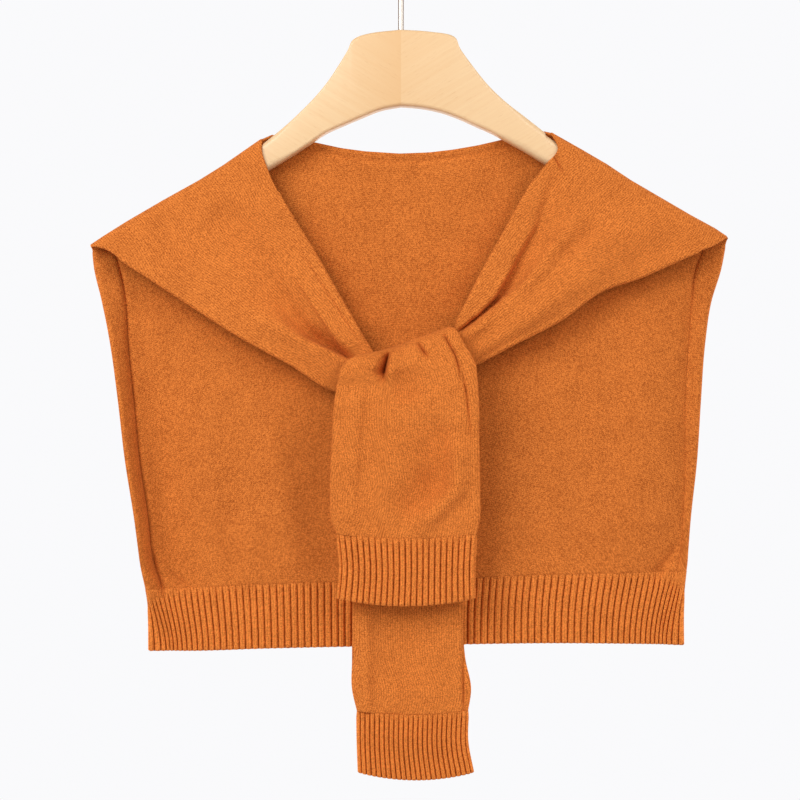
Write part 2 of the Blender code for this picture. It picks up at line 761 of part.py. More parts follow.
def add_cuffs():
    """The ribbed cuffs at the ends of the tails."""
    lift = rib_profile(CUFF_RIBS, CUFF_RIDGE, CUFF_GROOVE)
    for name, rows in (("cuff_front", CUFF_FRONT), ("cuff_back", CUFF_BACK)):
        grid = drop_grid(rows, len(lift), RIB_ROWS, CUFF_TOP_SAG, CUFF_SAG)
        add_wall(name, grid, RIB_THICK, closed=True, lift=lift[None, :, None], square=((0, HIGH),))


def hanger_section(top, low):
    """Ring of a hanger half between a point on its top line and one on its lower line."""
    top = np.array(top)
    low = np.array(low)
    half_height = np.linalg.norm(top - low) / 2
    up = (top - low) / (2 * half_height)
    middle = (top + low) / 2
    rounding = min(WOOD_ROUNDING, half_height * WOOD_ROUNDING_MOST)
    ring = []
    for quarter, (side, end) in enumerate(((1, 1), (-1, 1), (-1, -1), (1, -1))):
        for step in range(WOOD_CORNER_STEPS):
            angle = math.radians(90 * quarter + 90 * step / (WOOD_CORNER_STEPS - 1))
            y = side * (WOOD_HALF_THICK - rounding) + rounding * math.cos(angle)
            height = end * (half_height - rounding) + rounding * math.sin(angle)
            ring.append((middle[0] + up[0] * height, y, middle[1] + up[1] * height))
    return ring


def add_hanger():
    """The two wooden halves, lofted from the joint in the middle to the tips."""
    for name, rows in (("hanger_left", HANGER_LEFT), ("hanger_right", HANGER_RIGHT)):
        points = []
        sections = len(rows["top_x"])
        for index in range(sections):
            top = (rows["top_x"][index], rows["top_z"][index])
            low = (rows["low_x"][index], rows["low_z"][index])
            points.extend(hanger_section(top, low))
        around = len(points) // sections
        add_object(name, points, tube_faces(sections, around), BEECH, WOOD_ROUGHNESS)


def hook_path():
    """Middle line of the hook's wire: a straight stem, a bend to the right and a round top."""
    radius = HOOK_INNER_RADIUS + HOOK_WIRE_RADIUS
    centre_z = -HOOK_INNER_RADIUS
    join = math.radians(HOOK_JOIN_ANGLE)
    joined = np.array((radius * math.cos(join), centre_z + radius * math.sin(join)))
    heading = np.array((-math.sin(join), math.cos(join)))
    foot = np.array((0.0, HOOK_STEM_FOOT))
    bend_start = np.array((0.0, HOOK_STEM_TOP))
    handle = HOOK_HANDLE * np.linalg.norm(joined - bend_start)
    first = bend_start + np.array((0.0, handle))
    second = joined - heading * handle
    path = [foot, (foot + bend_start) / 2]
    for t in np.linspace(0.0, 1.0, HOOK_BEND_STEPS):
        away = 1 - t
        leaving = away ** 3 * bend_start + 3 * away ** 2 * t * first
        joining = 3 * away * t ** 2 * second + t ** 3 * joined
        path.append(leaving + joining)
    for angle in np.radians(np.linspace(HOOK_JOIN_ANGLE, HOOK_END_ANGLE, HOOK_ROUND_STEPS)[1:]):
        path.append(np.array((radius * math.cos(angle), centre_z + radius * math.sin(angle))))
    return path


def add_hook():
    """The wire hook, a bevelled curve with closed ends."""
    curve = bpy.data.curves.new("hanger_hook", "CURVE")
    curve.dimensions = "3D"
    curve.bevel_depth = HOOK_WIRE_RADIUS * MM
    curve.bevel_resolution = HOOK_BEVEL_STEPS
    curve.use_fill_caps = True
    path = hook_path()
    spline = curve.splines.new("POLY")
    spline.points.add(len(path) - 1)
    for point, (x, z) in zip(spline.points, path):
        point.co = (x * MM, 0.0, z * MM, 1.0)
    thing = bpy.data.objects.new("hanger_hook", curve)
    bpy.context.collection.objects.link(thing)
    curve.materials.append(finish("hanger_hook", STEEL, STEEL_ROUGHNESS, 1.0))


def main():
    for thing in list(bpy.data.objects):
        bpy.data.objects.remove(thing, do_unlink=True)
    add_hanger()
    add_hook()
    add_panel_and_trim()
    add_hem()
    add_drapes()
    add_knot()
    add_tails()
    add_cuffs()


main()
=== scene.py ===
"""Dressed model of a knit bolero shawl on a wooden hanger.

Tables are in millimetres in the part's own frame: +X to the viewer's right, +Y to the back,
+Z up, with the origin where a rod touches the inside of the hook.
"""
import math

import bmesh
import bpy
import numpy as np
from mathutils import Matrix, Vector


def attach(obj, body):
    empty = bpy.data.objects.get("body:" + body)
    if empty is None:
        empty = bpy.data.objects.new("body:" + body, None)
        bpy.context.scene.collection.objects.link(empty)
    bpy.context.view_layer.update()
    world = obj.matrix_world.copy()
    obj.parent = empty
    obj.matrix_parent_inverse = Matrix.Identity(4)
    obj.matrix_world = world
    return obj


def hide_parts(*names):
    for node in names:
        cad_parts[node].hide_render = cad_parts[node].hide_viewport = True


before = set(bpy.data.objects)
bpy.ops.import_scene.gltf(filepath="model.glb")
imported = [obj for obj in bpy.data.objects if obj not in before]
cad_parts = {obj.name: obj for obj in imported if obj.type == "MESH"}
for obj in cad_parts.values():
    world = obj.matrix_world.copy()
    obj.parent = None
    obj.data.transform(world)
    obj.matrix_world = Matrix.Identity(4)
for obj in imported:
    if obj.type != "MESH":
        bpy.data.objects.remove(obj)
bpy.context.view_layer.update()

MM = 0.001
WIDE, DEEP, HIGH = range(3)

# Cloth and seams
KNIT_THICK = 1.8
RIB_THICK = 2.0
SEAM_GAP = 0.3
SEAM_LAP = 0.8            # how far ribbing reaches up into the edge of the plain knit
CREST_RADIUS = 8.6        # how far the cloth stands from the middle of a hanger arm
TIP_RADIUS = 5.0          # the same at the tip of a shoulder, past the end of the arm
TIP_LENGTH = 24.0         # distance from the tip over which the one becomes the other
CREST_DROP = 10.0         # height of the bend over an arm
ARM_SLOPE = math.radians(31.0)
WALE = 1.7                # width of one column of stitches
COURSE = 1.3              # height of one row of stitches

# Ribs
HEM_RIBS = 87
CUFF_RIBS = 48
RIB_POINTS = 8            # columns of points across one rib
RIB_RISE = 0.6
RIB_GROOVE = 2.5          # from the top of a ridge to the bottom of a groove
GROOVE_WIDTH = 0.14       # share of a rib that half a groove takes
RIB_SQUARENESS = 4        # how flat the top of a ridge is
HEM_SQUEEZE = 0.92        # how much closer the ribs look at the two turned ends
HEM_SQUEEZE_REACH = 0.055  # share of the hem's length over which they do
HEM_LATE = 0.3            # share of the height that the ribs at an end begin lower
HEM_FAN = 8.5             # how far the ribs near an end spread from there, going down
HEM_FAN_START = 1.8       # distance from the end over which that begins
HEM_FAN_REACH = 42.0      # and over which it fades

# Hanger
WOOD_HALF_THICK = 7.0
WOOD_ROUNDING = 5.5       # of the arms' edges
HEAD_ROUNDING = 2.5       # of the edges at the middle
HEAD_REACH = 72.0         # distance from the middle up to which that holds
HEAD_FADE = 16.0          # distance over which the rounding then grows to that of the arms
WOOD_CORNER_STEPS = 8
HOOK_WIRE_RADIUS = 2.0
HOOK_INNER_RADIUS = 19.0
HOOK_STEM_FOOT = -73.7
HOOK_STEM_TOP = -52.0
HOOK_JOIN_ANGLE = -60.0
HOOK_END_ANGLE = 205.0
HOOK_SIDES = 20
HOOK_CAP_TURN = 80.0      # degrees of the rounding at the free end
HOOK_CAP_STEPS = 6

# Knot
BAR_LEFT = -15.0
BAR_RIGHT = 27.0
BAR_LEFT_Z = -320.0
BAR_RIGHT_Z = -307.0
BAR_DEPTH_Y = -20.0
BAR_HALF_HEIGHT = 10.5
BAR_HALF_DEPTH = 8.5
BAR_GATHERS = 7
BAR_GATHER_DEPTH = 1.0
KNOT_GAP = 1.0            # room between a drape's gathered end and the crossing

# Neck
NECK_LEFT = -98.7         # last column that lies over the left arm
NECK_LEFT_INNER = -91.0   # first column behind the hanger
NECK_RIGHT_INNER = 98.0
NECK_RIGHT = 105.5
TRIM_HEIGHT = 6.0
TRIM_THICK = 1.4


def table(columns, *rows):
    """A table with named columns, one row for each section."""
    return dict(zip(columns.split(), np.array(rows, float).T))


# Outer line of the shoulders and the neck edge, from left to right.
# over is 1 where the cloth lies over a hanger arm and 0 where it hangs behind the hanger.
TOP_EDGE = table(
    "x z over",
    (-218.5, -226, 1),
    (-216.3, -223.1, 1),
    (-207.9, -217.5, 1),
    (-191.1, -207, 1),
    (-165.9, -192.3, 1),
    (-140.7, -178.3, 1),
    (-123.9, -167.8, 1),
    (NECK_LEFT, -150.3, 1),
    (NECK_LEFT_INNER, -144.5, 0),
    (-59.2, -150.1, 0),
    (-42.3, -153.8, 0),
    (-25.4, -156.1, 0),
    (-1, -157.7, 0),
    (19.7, -156.9, 0),
    (36.7, -154.9, 0),
    (53.6, -152, 0),
    (64.9, -149.4, 0),
    (NECK_RIGHT_INNER, -141.5, 0),
    (NECK_RIGHT, -145.3, 1),
    (126.7, -157.3, 1),
    (143.5, -167.1, 1),
    (160.3, -178.3, 1),
    (177.1, -188.1, 1),
    (202.3, -202.8, 1),
    (219.1, -211.9, 1),
    (227.5, -217.5, 1),
    (229, -220, 1),
)

# The two side edges as seen from the front. Past a crease the cloth turns forward: turn is the
# width of that strip as seen, reach how far forward it comes, slit how deep the crease cuts
# and soft how wide it is on the panel's side. lead is how far back the panel itself has gone
# where it meets the crease and span how far inside the crease it begins to.
SIDE_COLUMNS = "z edge turn reach lead span slit soft"
LEFT_SIDE = table(
    SIDE_COLUMNS,
    (-222, -217.4, 13, 3, 0, 18, 0.5, 1.1),
    (-240, -214.8, 16.7, 8, -1, 18, 2.6, 1.1),
    (-262, -208.8, 14.8, 11, -3.5, 18, 3.4, 1.3),
    (-290, -202.4, 10.3, 12, -5.5, 18, 4, 1.6),
    (-332, -195.6, 8.4, 13, -7, 17, 4.2, 1.8),
    (-374, -190.2, 7.4, 13, -8.5, 16, 4.4, 2.2),
    (-416, -183.4, 7, 13, -10, 16, 4.8, 2.6),
    (-444, -180, 6.6, 11.5, -9, 16, 4.8, 2.6),
    (-472, -176.2, 11, 6, -1, 16, 0.3, 2),
    (-510, -175.6, 14, 5, 0, 16, 0, 1.1),
)
RIGHT_SIDE = table(
    SIDE_COLUMNS,
    (-222, 228.5, 14, 3, 0, 30, 0.5, 1.1),
    (-240, 225.2, 17, 5, 3, 30, 2.4, 1.3),
    (-262, 219, 12.9, 4.5, 6.5, 30, 0.8, 1.3),
    (-290, 214.7, 11.2, 4.2, 9, 30, 0, 1.3),
    (-332, 210.9, 10.5, 4, 9.5, 30, 0, 1.3),
    (-374, 208, 8, 3.4, 10, 30, 0, 1.3),
    (-416, 203.5, 5, 2.6, 10, 30, 0, 1.3),
    (-444, 201, 5, 2.6, 8, 30, 0, 1.3),
    (-472, 197, 12, 4, 1.5, 30, 0, 1.3),
    (-510, 196.6, 14, 4.5, 0, 30, 0, 1.3),
)
SLIT_OUTSIDE = 1.2        # width of a crease on the strip's side
TURN_POWER = 0.8          # under 1, a turned strip rises steeply from its crease
RIM_WIDTH = 2.6           # the outer part of a strip, which rolls back again
RIM_BACK = 3.4            # how far back the rim itself lies
SIDE_COLUMN_POWER = 1.6   # columns lie closer together near a crease

# How far the panel hangs behind the hanger's middle
PANEL_HANG = table(
    "z y",
    (-140, 9.6),
    (-175, 9.2),
    (-235, 9),
    (-265, 8.4),
    (-300, 4.6),
    (-340, 0.4),
    (-380, -1.4),
    (-450, -2),
    (-510, -2),
)

# Folds and creases seen from the front: a line, how far the fold reaches above it and below it,
# the share of that reach left at its end, and how far back it goes at each end (a ridge is negative)
FOLD_COLUMNS = "x_top z_top x_end z_end above below narrows back end_back"
PANEL_FOLDS = table(
    FOLD_COLUMNS,
    (-92, -345, -78, -462, 11, 11, 1, -2.6, -2.6),
    (-62, -350, -58, -455, 13, 13, 1, 2, 2),
    (-172, -430, -140, -470, 9, 9, 1, 2.4, 2.4),
    (-160, -300, -168, -420, 16, 16, 1, 2.2, 2.2),
    (118, -320, 128, -450, 15, 15, 1, 2.2, 2.2),
    (160, -330, 152, -445, 14, 14, 1, -2, -2),
    (190, -420, 168, -462, 9, 9, 1, 2.4, 2.4),
    (-176, -440, -167, -464, 4, 1.6, 1, 2.5, 4),
    (-164.5, -451, -149.5, -463, 2, 5, 1, 2.6, 3.2),
    (196, -434, 179, -457, 5, 2.2, 1, 3, 4),
    (200, -443, 187, -460, 3, 4, 1, -1.5, -2),
    (-121, -395, -117, -455, 7, 7, 1, 2.2, 2.2),
    (-105, -395, -102, -455, 7, 7, 1, -1.6, -1.6),
    (-40, -190, 30, -200, 16, 16, 1, 1.2, 1.2),
    (20, -215, -10, -260, 14, 14, 1, -1, -1),
)
LEFT_CREASES = table(
    FOLD_COLUMNS,
    (-130, -202.5, -106.5, -219.5, 12, 13, 1, 2.5, 4),
    (-106.5, -219.5, -86.5, -260, 12, 14, 0.9, 4, 6),
    (-86.5, -260, -63, -290, 13, 9, 0.5, 6, 10),
    (-63, -290, -34.5, -304.5, 11, 1.6, 0.4, 11, 12),
    (-70, -250, -34.5, -304, 8, 1.4, 1, -2, -4),
    (-70, -226.5, -28.5, -291, 1, 1, 1, 0.7, 1),
    (-125, -262, -86.5, -281, 9, 12, 0.8, -2, -3.5),
    (-86.5, -281, -63, -293, 6, 10, 0.4, -3.5, -4),
    (-63, -293, -36, -307.5, 2, 9, 0.8, -4, -4),
    (-170, -205, -150, -232, 12, 12, 1, 1.2, 1.2),
    (-190, -215, -140, -255, 9, 9, 1, -1.2, -1.2),
)
RIGHT_CREASES = table(
    FOLD_COLUMNS,
    (110, -171.5, 95, -210.5, 4, 10, 1, 1.2, 4),
    (95, -210.5, 79.5, -237.5, 2.4, 12, 1, 4, 8),
    (79.5, -237.5, 65.5, -261.5, 1.6, 12, 0.9, 8, 11.5),
    (65.5, -261.5, 51, -275.5, 1.6, 9, 0.6, 11.5, 11.5),
    (51, -275.5, 39.5, -284.5, 1.6, 5, 0.6, 11.5, 9),
    (105.7, -161.6, 112.6, -174.1, 0.9, 0.9, 1, 2.4, 1.6),
    (126, -199.5, 98, -237.5, 5, 8, 0.8, -3, -4),
    (98, -237.5, 83.5, -254, 4, 8, 0.6, -4, -5),
    (83.5, -254, 40, -286.5, 1.8, 8, 0.8, -5, -6),
    (137.5, -211.5, 106.5, -237, 5, 5, 1, 1, 1.4),
    (150, -215, 118, -236, 5, 7, 1, -0.8, -1.2),
    (165, -218, 83, -277, 24, 14, 0.7, -4, -5),
    (137.5, -246, 61.5, -294, 9, 8, 0.8, -1.5, -2.5),
    (200, -218, 160, -236, 8, 8, 1, 1.5, 1.5),
)
KNOT_PIT = table(
    FOLD_COLUMNS,
    (-8, -300.5, -12, -316, 3, 1.2, 1.8, 10, 15),
)
CROSSING_DENT = table(
    FOLD_COLUMNS,
    (-8, -298, -12, -319, 8, 5, 1.3, 8, 11),
)
TAIL_CREASES = table(
    FOLD_COLUMNS,
    (-4, -297, -8.5, -316, 1.6, 6, 0.9, -3, -3),
    (-26.5, -303.5, -17.5, -311, 5, 4, 0.8, -2.5, -3),
    (1.5, -313, 5, -333, 10, 8, 1.2, 4.6, 4.8),
    (10.5, -291.5, 18.5, -303, 1.4, 2.4, 1, 7, 4),
    (28.5, -286.5, 37, -302.5, 1.5, 1.1, 1, 4.4, 4.4),
    (37, -302.5, 44, -325.5, 1.5, 1.1, 1, 4.4, 3),
    (44, -325.5, 49, -366.5, 1.5, 1.1, 1, 3, 0.3),
    (-28, -325, -31.5, -359, 9, 4, 1, -2.8, -2.8),
    (-31.5, -359, -33.5, -421, 9, 4, 1, -2.8, -1.8),
    (39.5, -362, 38, -393.5, 5, 7, 1, -4, -5),
    (38, -393.5, 14, -418.5, 5, 7, 1, -5, -3.6),
    (29, -350, 27, -390, 15, 4.5, 1, 5, 7),
    (27, -390, 3, -411, 14, 4.5, 1, 7, 5),
    (-6, -335, -3, -395, 12, 12, 1, -2, -2),
    (44, -398, 22, -421, 4, 4, 1, 1.4, 1.4),
    (-40, -414, -30, -422, 2.5, 2.5, 1, 0.9, 0.9),
    (-22, -410, -12, -421, 3, 3, 1, 0.9, 0.9),
)
TAIL_BACK_CREASES = table(
    FOLD_COLUMNS,
    (-24, -466, -24.5, -550, 9, 5, 1, -3.2, -3),
    (42.4, -498, 43.4, -547, 1.6, 1.3, 1, 2.4, 2.4),
    (5, -462, -4, -537, 22, 13, 1, 3.4, 3),
    (25, -500, 20, -540, 10, 10, 1, -1, -1),
)

HEM_LINES = table(
    "x top bottom",
    (-190, -464.8, -506.6),
    (-150, -464.2, -507.6),
    (-93, -461.5, -506),
    (0, -458.5, -504),
    (106, -455, -502.3),
    (200, -453, -503.2),
)

# The two edges of each sleeve's drape, from the shoulder to the knot
LEFT_INNER = table(
    "x z",
    (-96.8, -149.1),
    (-96.6, -158.7),
    (-92.8, -170.4),
    (-56.5, -236),
    (-25, -291),
    (-19.5, -300.5),
    (BAR_LEFT - KNOT_GAP, -311.5),
)
LEFT_OUTER = table(
    "x z",
    (-217, -225.2),
    (-207.2, -227.2),
    (-192.8, -236.2),
    (-153.8, -261.6),
    (-104.7, -292.4),
    (-76.5, -307.5),
    (-46, -325.8),
    (BAR_LEFT - KNOT_GAP, -328.5),
)
RIGHT_INNER = table(
    "x z",
    (104.5, -144.8),
    (108.8, -157.6),
    (100.3, -168.2),
    (68.9, -220.6),
    (46.4, -263),
    (38, -281),
    (36.8, -290),
    (BAR_RIGHT + KNOT_GAP, -299),
)
RIGHT_OUTER = table(
    "x z",
    (227.8, -220),
    (219.4, -225),
    (201.8, -232),
    (166.6, -246.8),
    (140.5, -255.9),
    (110.4, -276.9),
    (75.5, -295),
    (50, -308.3),
    (BAR_RIGHT + KNOT_GAP, -315.5),
)

# Folds that run along a drape. across is the place between the inner edge (0) and the
# outer edge (1), start is how far along the fold begins, and back is its depth at the knot.
STRAND_COLUMNS = "across half_width start back"
LEFT_FOLDS = table(
    STRAND_COLUMNS,
    (0.30, 0.10, 0.35, -1),
    (0.74, 0.16, 0.25, -1),
    (0.97, 0.10, 0.50, 2),
)
RIGHT_FOLDS = table(
    STRAND_COLUMNS,
    (0.42, 0.12, 0.20, -1),
    (0.80, 0.10, 0.30, -1),
    (0.97, 0.08, 0.50, 2),
)
DRAPE_KNOT_Y = -20.0
DRAPE_ROW_POWER = 1.7     # rows lie closer together near the shoulder
DRAPE_LEAVES_ARM = 0.12   # share of the length after which a drape comes forward
CREST_SHARE = 0.35        # share of the length that still follows the shoulder line

# Points on the meshes
PANEL_TURN_COLUMNS = 14
PANEL_SHOULDER_COLUMNS = 40
PANEL_NECK_COLUMNS = 62
PANEL_BEND_ROWS = 10
PANEL_HANG_ROWS = 140
TRIM_ROWS = 7
RIB_ROWS = 20
DRAPE_STRANDS = 200
DRAPE_ROWS = 160
TAIL_COLUMNS = 240
TAIL_WRAP_ROWS = 70
TAIL_DROP_ROWS = 80
TAIL_BACK_ROWS = 120
KNOT_COLUMNS = 120
KNOT_ROWS = 24
WOOD_SECTIONS = 90
HOOK_STEM_STEPS = 8
HOOK_BEND_STEPS = 16
HOOK_ROUND_STEPS = 60

# Small shapes
TAIL_REAR_SHARE = 0.7     # share of a crease that the rear layer of the front tail takes
KNOT_REAR_SHARE = 0.4     # the same where the tail lies over the knot
PIT_REAR_SHARE = 0.88     # the same in the pit of the knot
PRESSED_FOLD = 1.6        # how far behind the front of a tail its side folds lie
FOLD_FADE = 0.25          # share of a fold's length that it fades over, on each side of an end
WRAP_RAMP = (-2.2, 1.6)   # over the knot, creases come in where a ramp between these rises from 0 to 1
FRONT_STEEPNESS = 1.5     # how quickly a tube's front passes into its back
PANEL_FOOT = -461.5       # level at which the places of the panel's columns give its lower edge
EDGE_ROUNDING = 0.55      # how far the two faces of the cloth draw in at an edge
SEAM_ROUNDING = 0.1       # the same at a seam
SEAM_FACING = 0.75        # a seam is squared where the cloth faces less than this along the axis
TRIM_CROWN = 0.5
RIB_FIRST = 0.25          # share of the ribs' rise at the seam
RIB_FADE_IN = 0.14        # share of the ribbing over which the ribs rise from the plain knit
STITCHES_PER_RIB = 2
SMALLEST_RADIUS = 0.01
SMALLEST_SHARE = 0.0001
CREASES_START = 0.1       # share of a drape's length at which its creases are full
HOOK_HANDLE = 0.55        # how softly the stem bends into the round top
WOOD_ROUNDING_MOST = 0.9  # share of half the wood's height that the rounding may take
SHARP_ANGLE = math.radians(50)

# Lines along the back neck: distance below the edge, half width and depth
NECK_LINES = (
    (5.6, 1.8, 1.0),
    (22.0, 1.8, 0.5),
)

# Places of the colour sockets on a mix node
MIX_FIRST, MIX_SECOND, MIX_RESULT = 6, 7, 2

# Stitches and yarn
STITCH_MAP = "stitch"
RISE_MAP = "rise"
UNEVEN_SCALE = 0.35       # blotches of unevenness to a stitch
UNEVEN_ACROSS = 0.3       # stitches that they shift by
UNEVEN_DOWN = 0.5
LEG_ROUNDNESS = 0.7
LEG_LEAN = 1.3            # rows that a leg would rise by in the width of a stitch
ROW_RELIEF = 0.45         # shares of the height that the rows and the columns take
WALE_RELIEF = 0.3
PURL_ARC = 0.18           # rows that an arc rises by
KNIT_RELIEF = 0.45        # height of the stitches
PURL_RELIEF = 0.2
LUMP_RELIEF = 1.2         # height of the yarn's lumps, as a share of that
BUMP_STRENGTH = 0.6
BLOTCH_SCALE = 60.0       # blotches and flecks to the metre
BLOTCH_DETAIL = 3.0
FLECK_SCALE = 1300.0
BLOTCH_SHADE = 0.25       # how much each of these changes the shade; these first three are the yarn's own uneven tone
FLECK_SHADE = 0.28
LOOP_SHADE = 0.58
# Painted light on the ribs' ridges and painted shade in their grooves
RIDGE_PAINTED_LIGHT = 0.15
GROOVE_PAINTED_SHADE = 0.55
# Painted shade in the gaps between stitches, on the knit face and on the purl face
GAP_PAINTED_SHADE = 0.7
PURL_GAP_PAINTED_SHADE = 0.2
GAP_MEAN = 0.35           # the stitches' mean height, for an even shade on both faces
MEAN_SHADE = 0.2
GROOVE_SHARPNESS = 9.0
LOOPS_ACROSS = 3.0        # loops of yarn to a stitch
LOOPS_DOWN = 2.0
# The shade runs from the one colour to the other: the yarn's own uneven tone, with painted light and
# shade from the stitches and ribs
YARN_LIGHT = (0.87, 0.276, 0.0535, 1.0)
YARN_DARK = (0.255, 0.054, 0.0072, 1.0)
YARN_SURFACE = {
    "Roughness": 0.95,
    "Specular IOR Level": 0.08,
    "Sheen Weight": 0.03,
    "Sheen Roughness": 0.5,
    "Sheen Tint": (1.0, 0.62, 0.3, 1.0),
}

# Wood and wire
GRAIN_STRETCH = (9.0, 420.0, 420.0)
FLECK_STRETCH = (130.0, 1500.0, 1500.0)
GRAIN_DETAIL = 5.0
GRAIN_CONTRAST = 1.1
GRAIN_RELIEF = 0.02
RAY_FROM = 0.62           # noise above which a dark fleck shows
RAY_GAIN = 3.0
BEECH_LIGHT = (0.81, 0.63, 0.375, 1.0)
BEECH_DARK = (0.74, 0.51, 0.27, 1.0)
BEECH_RAY = (0.61, 0.375, 0.18, 1.0)
BEECH_JOINT = (0.73, 0.485, 0.24, 1.0)
JOINT_FADE = 0.045        # metres from the joint over which the wood turns paler
LEFT_JOINT_SHADE = 0.9    # share of the joint's tone right at the joint
RIGHT_JOINT_SHADE = 0.4
BEECH_ROUGHNESS = 0.34    # smoothest, and how much rougher the grain makes it
BEECH_ROUGHER = 0.12
BEECH_SURFACE = {"Coat Weight": 0.25, "Coat Roughness": 0.3}
WIRE_STRETCH = (2500.0, 2500.0, 40.0)
STEEL_LIGHT = (0.66, 0.63, 0.58, 1.0)
STEEL_DARK = (0.46, 0.44, 0.40, 1.0)
WIRE_DETAIL = 4.0
STEEL_ROUGHNESS = 0.15
STEEL_ROUGHER = 0.15
STEEL_SURFACE = {"Metallic": 1.0}

# Stage, in metres
CAMERA_PLACE = (-0.0007, -1.35, -0.3323)
CAMERA_LENS = 86.8
CAMERA_SENSOR = 36.0
LOOK_AT = Vector((0.0, 0.0, -0.33))
FLOOR_LEVEL = -0.80
FLOOR_RADIUS = 0.75
FLOOR_SIDES = 128
FLOOR_SURFACE = {"Base Color": (0.73, 0.73, 0.74, 1.0), "Roughness": 0.8}
AMBIENT_COLOUR = (1.0, 0.76, 0.66, 1.0)
AMBIENT_STRENGTH = 0.42
BACKDROP_COLOUR = (0.955, 0.955, 0.97, 1.0)
# Name, place, size and power in watts of each soft light
LIGHTS = (
    ("key", (-0.9, -1.25, 0.45), 1.0, 20.4),
    ("fill", (0.95, -1.15, 0.5), 1.1, 11.3),
    ("left rim", (-1.15, 0.45, -0.25), 0.6, 10.0),
    ("right rim", (1.15, 0.45, -0.25), 0.6, 10.0),
    ("rear", (0.3, 1.5, -0.1), 1.2, 5.0),
)

# A sleeve's folded edges turn back towards the panel, once they are clear of the hanger
TURN_BACK_CLEAR = 3.5     # room left in front of the panel
TURN_BACK_RADIUS = 1.4
TURN_BACK_STRANDS = 0.08  # share of the strands that turn back at each edge
INNER_TURN_STARTS = 0.20  # shares of the length
OUTER_TURN_STARTS = 0.08
TURN_BACK_GROWS = 0.20
TURN_BACK_ENDS = 0.95
TURN_BACK_SHRINKS = 0.15

# Tails and cuffs, flattened tubes: side edges going down, depth through the tube, and y, the
# place of its middle from front to back. Where the front tail lies round the knot, turn is in
# degrees from the knot's back over its top, and lift_left raises the tail's left side.
TAIL_FRONT_WRAP = table(
    "turn left right depth lift_left",
    (-25, -12, 26, 5.2, 0),
    (40, -13, 28, 5.4, 0),
    (90, -15.5, 33.5, 5.6, 0),
    (112, -20.5, 36.5, 5.7, 2),
    (132, -30.5, 39.5, 5.8, 6),
    (150, -37.5, 43.5, 6, 5.5),
    (165, -40.8, 47.5, 6.1, 2.5),
    (180, -42, 50.3, 6.2, 0),
)
TUBE_COLUMNS = "z left right depth y"
TAIL_FRONT_DROP = table(
    TUBE_COLUMNS,
    (-322, -43, 51.6, 6.6, -35.2),
    (-335, -44.8, 52.3, 7, -35.4),
    (-360, -46.4, 52.5, 7.6, -34.6),
    (-395, -47.7, 53.2, 8.4, -32.4),
    (-414, -46.8, 53, 8.8, -31.6),
    (-424, -43, 51, 8.6, -31.2),
)
CUFF_FRONT = table(
    TUBE_COLUMNS,
    (-424.3, -42.9, 50.8, 8.6, -31.2),
    (-446, -41, 49.4, 8.4, -30.6),
    (-468, -42.9, 49.6, 8.8, -30),
)
TAIL_BACK = table(
    TUBE_COLUMNS,
    (-327, -17, 25, 6, -17.5),
    (-352, -29, 36, 6.6, -16.5),
    (-385, -33.4, 41.6, 7.4, -15),
    (-460, -32.9, 42.3, 8, -14),
    (-512, -33, 43.8, 8.6, -13.8),
    (-532, -33, 47.6, 9.2, -13.8),
    (-547, -29.6, 45.6, 9, -13.8),
)
CUFF_BACK = table(
    TUBE_COLUMNS,
    (-547.3, -29.5, 45.5, 9, -13.8),
    (-568, -29.3, 45.2, 8.6, -13.6),
    (-590, -28.5, 49.2, 9, -13.4),
)
CUFF_SAG = 5.0            # how much lower the middle of a cuff's edge hangs
CUFF_TOP_SAG = 3.0        # the same at the seam above it
TAIL_TILT = 0.36          # rise of the tail over the knot, going right
TAIL_TILT_STARTS = 40.0   # turn, in degrees, over which the tilt comes in
TAIL_TILT_FADES = 110.0   # turn at which it begins to fade
TAIL_TILT_LEFT = 0.3      # share that is left at the front
TAIL_BACK_TILT = 0.31     # rise of the back tail's top under the knot
TAIL_BACK_TILT_LENGTH = 45.0
TAIL_WRAP_RADIUS_Y = 15.6
TAIL_WRAP_RADIUS_Z = 18.5

# Hanger sections from the middle joint to the tip: a point on the top line and one below it
WOOD_COLUMNS = "top_x top_z low_x low_z"
HANGER_LEFT = table(
    WOOD_COLUMNS,
    (0, -74, 0, -126.9),
    (-21, -76.4, -14, -129.6),
    (-33.2, -80.8, -27.3, -134.8),
    (-38, -89.8, -40, -140.2),
    (-49.7, -108.2, -52.5, -145.9),
    (-61.3, -122.4, -66, -154.8),
    (-77, -137.6, -80, -164),
    (-91, -149, -94, -172.8),
    (-98, -154.2, -101, -176),
    (-124, -171.8, -122, -188.5),
    (-150, -187.3, -145, -202.5),
    (-190, -209.3, -185, -223.8),
    (-197, -214.5, -192, -225.5),
)
HANGER_RIGHT = table(
    WOOD_COLUMNS,
    (0, -74, 0, -126.9),
    (20.3, -75.4, 14, -128.1),
    (36.8, -78.7, 27.3, -130.8),
    (42.5, -89, 40, -135.2),
    (58.8, -110.4, 52, -140.6),
    (72.8, -124.2, 66, -147),
    (87.5, -135.2, 85, -158),
    (99.5, -144.6, 102, -168.4),
    (107, -151.2, 110, -172),
    (160, -181.2, 155, -197.5),
    (200, -204.6, 195, -219.3),
    (207, -209.2, 202, -221),
)


def rising(rows, along, value):
    """Two columns of a table, turned round where the first one falls."""
    step = -1 if rows[along][0] > rows[along][-1] else 1
    return rows[along][::step], rows[value][::step]


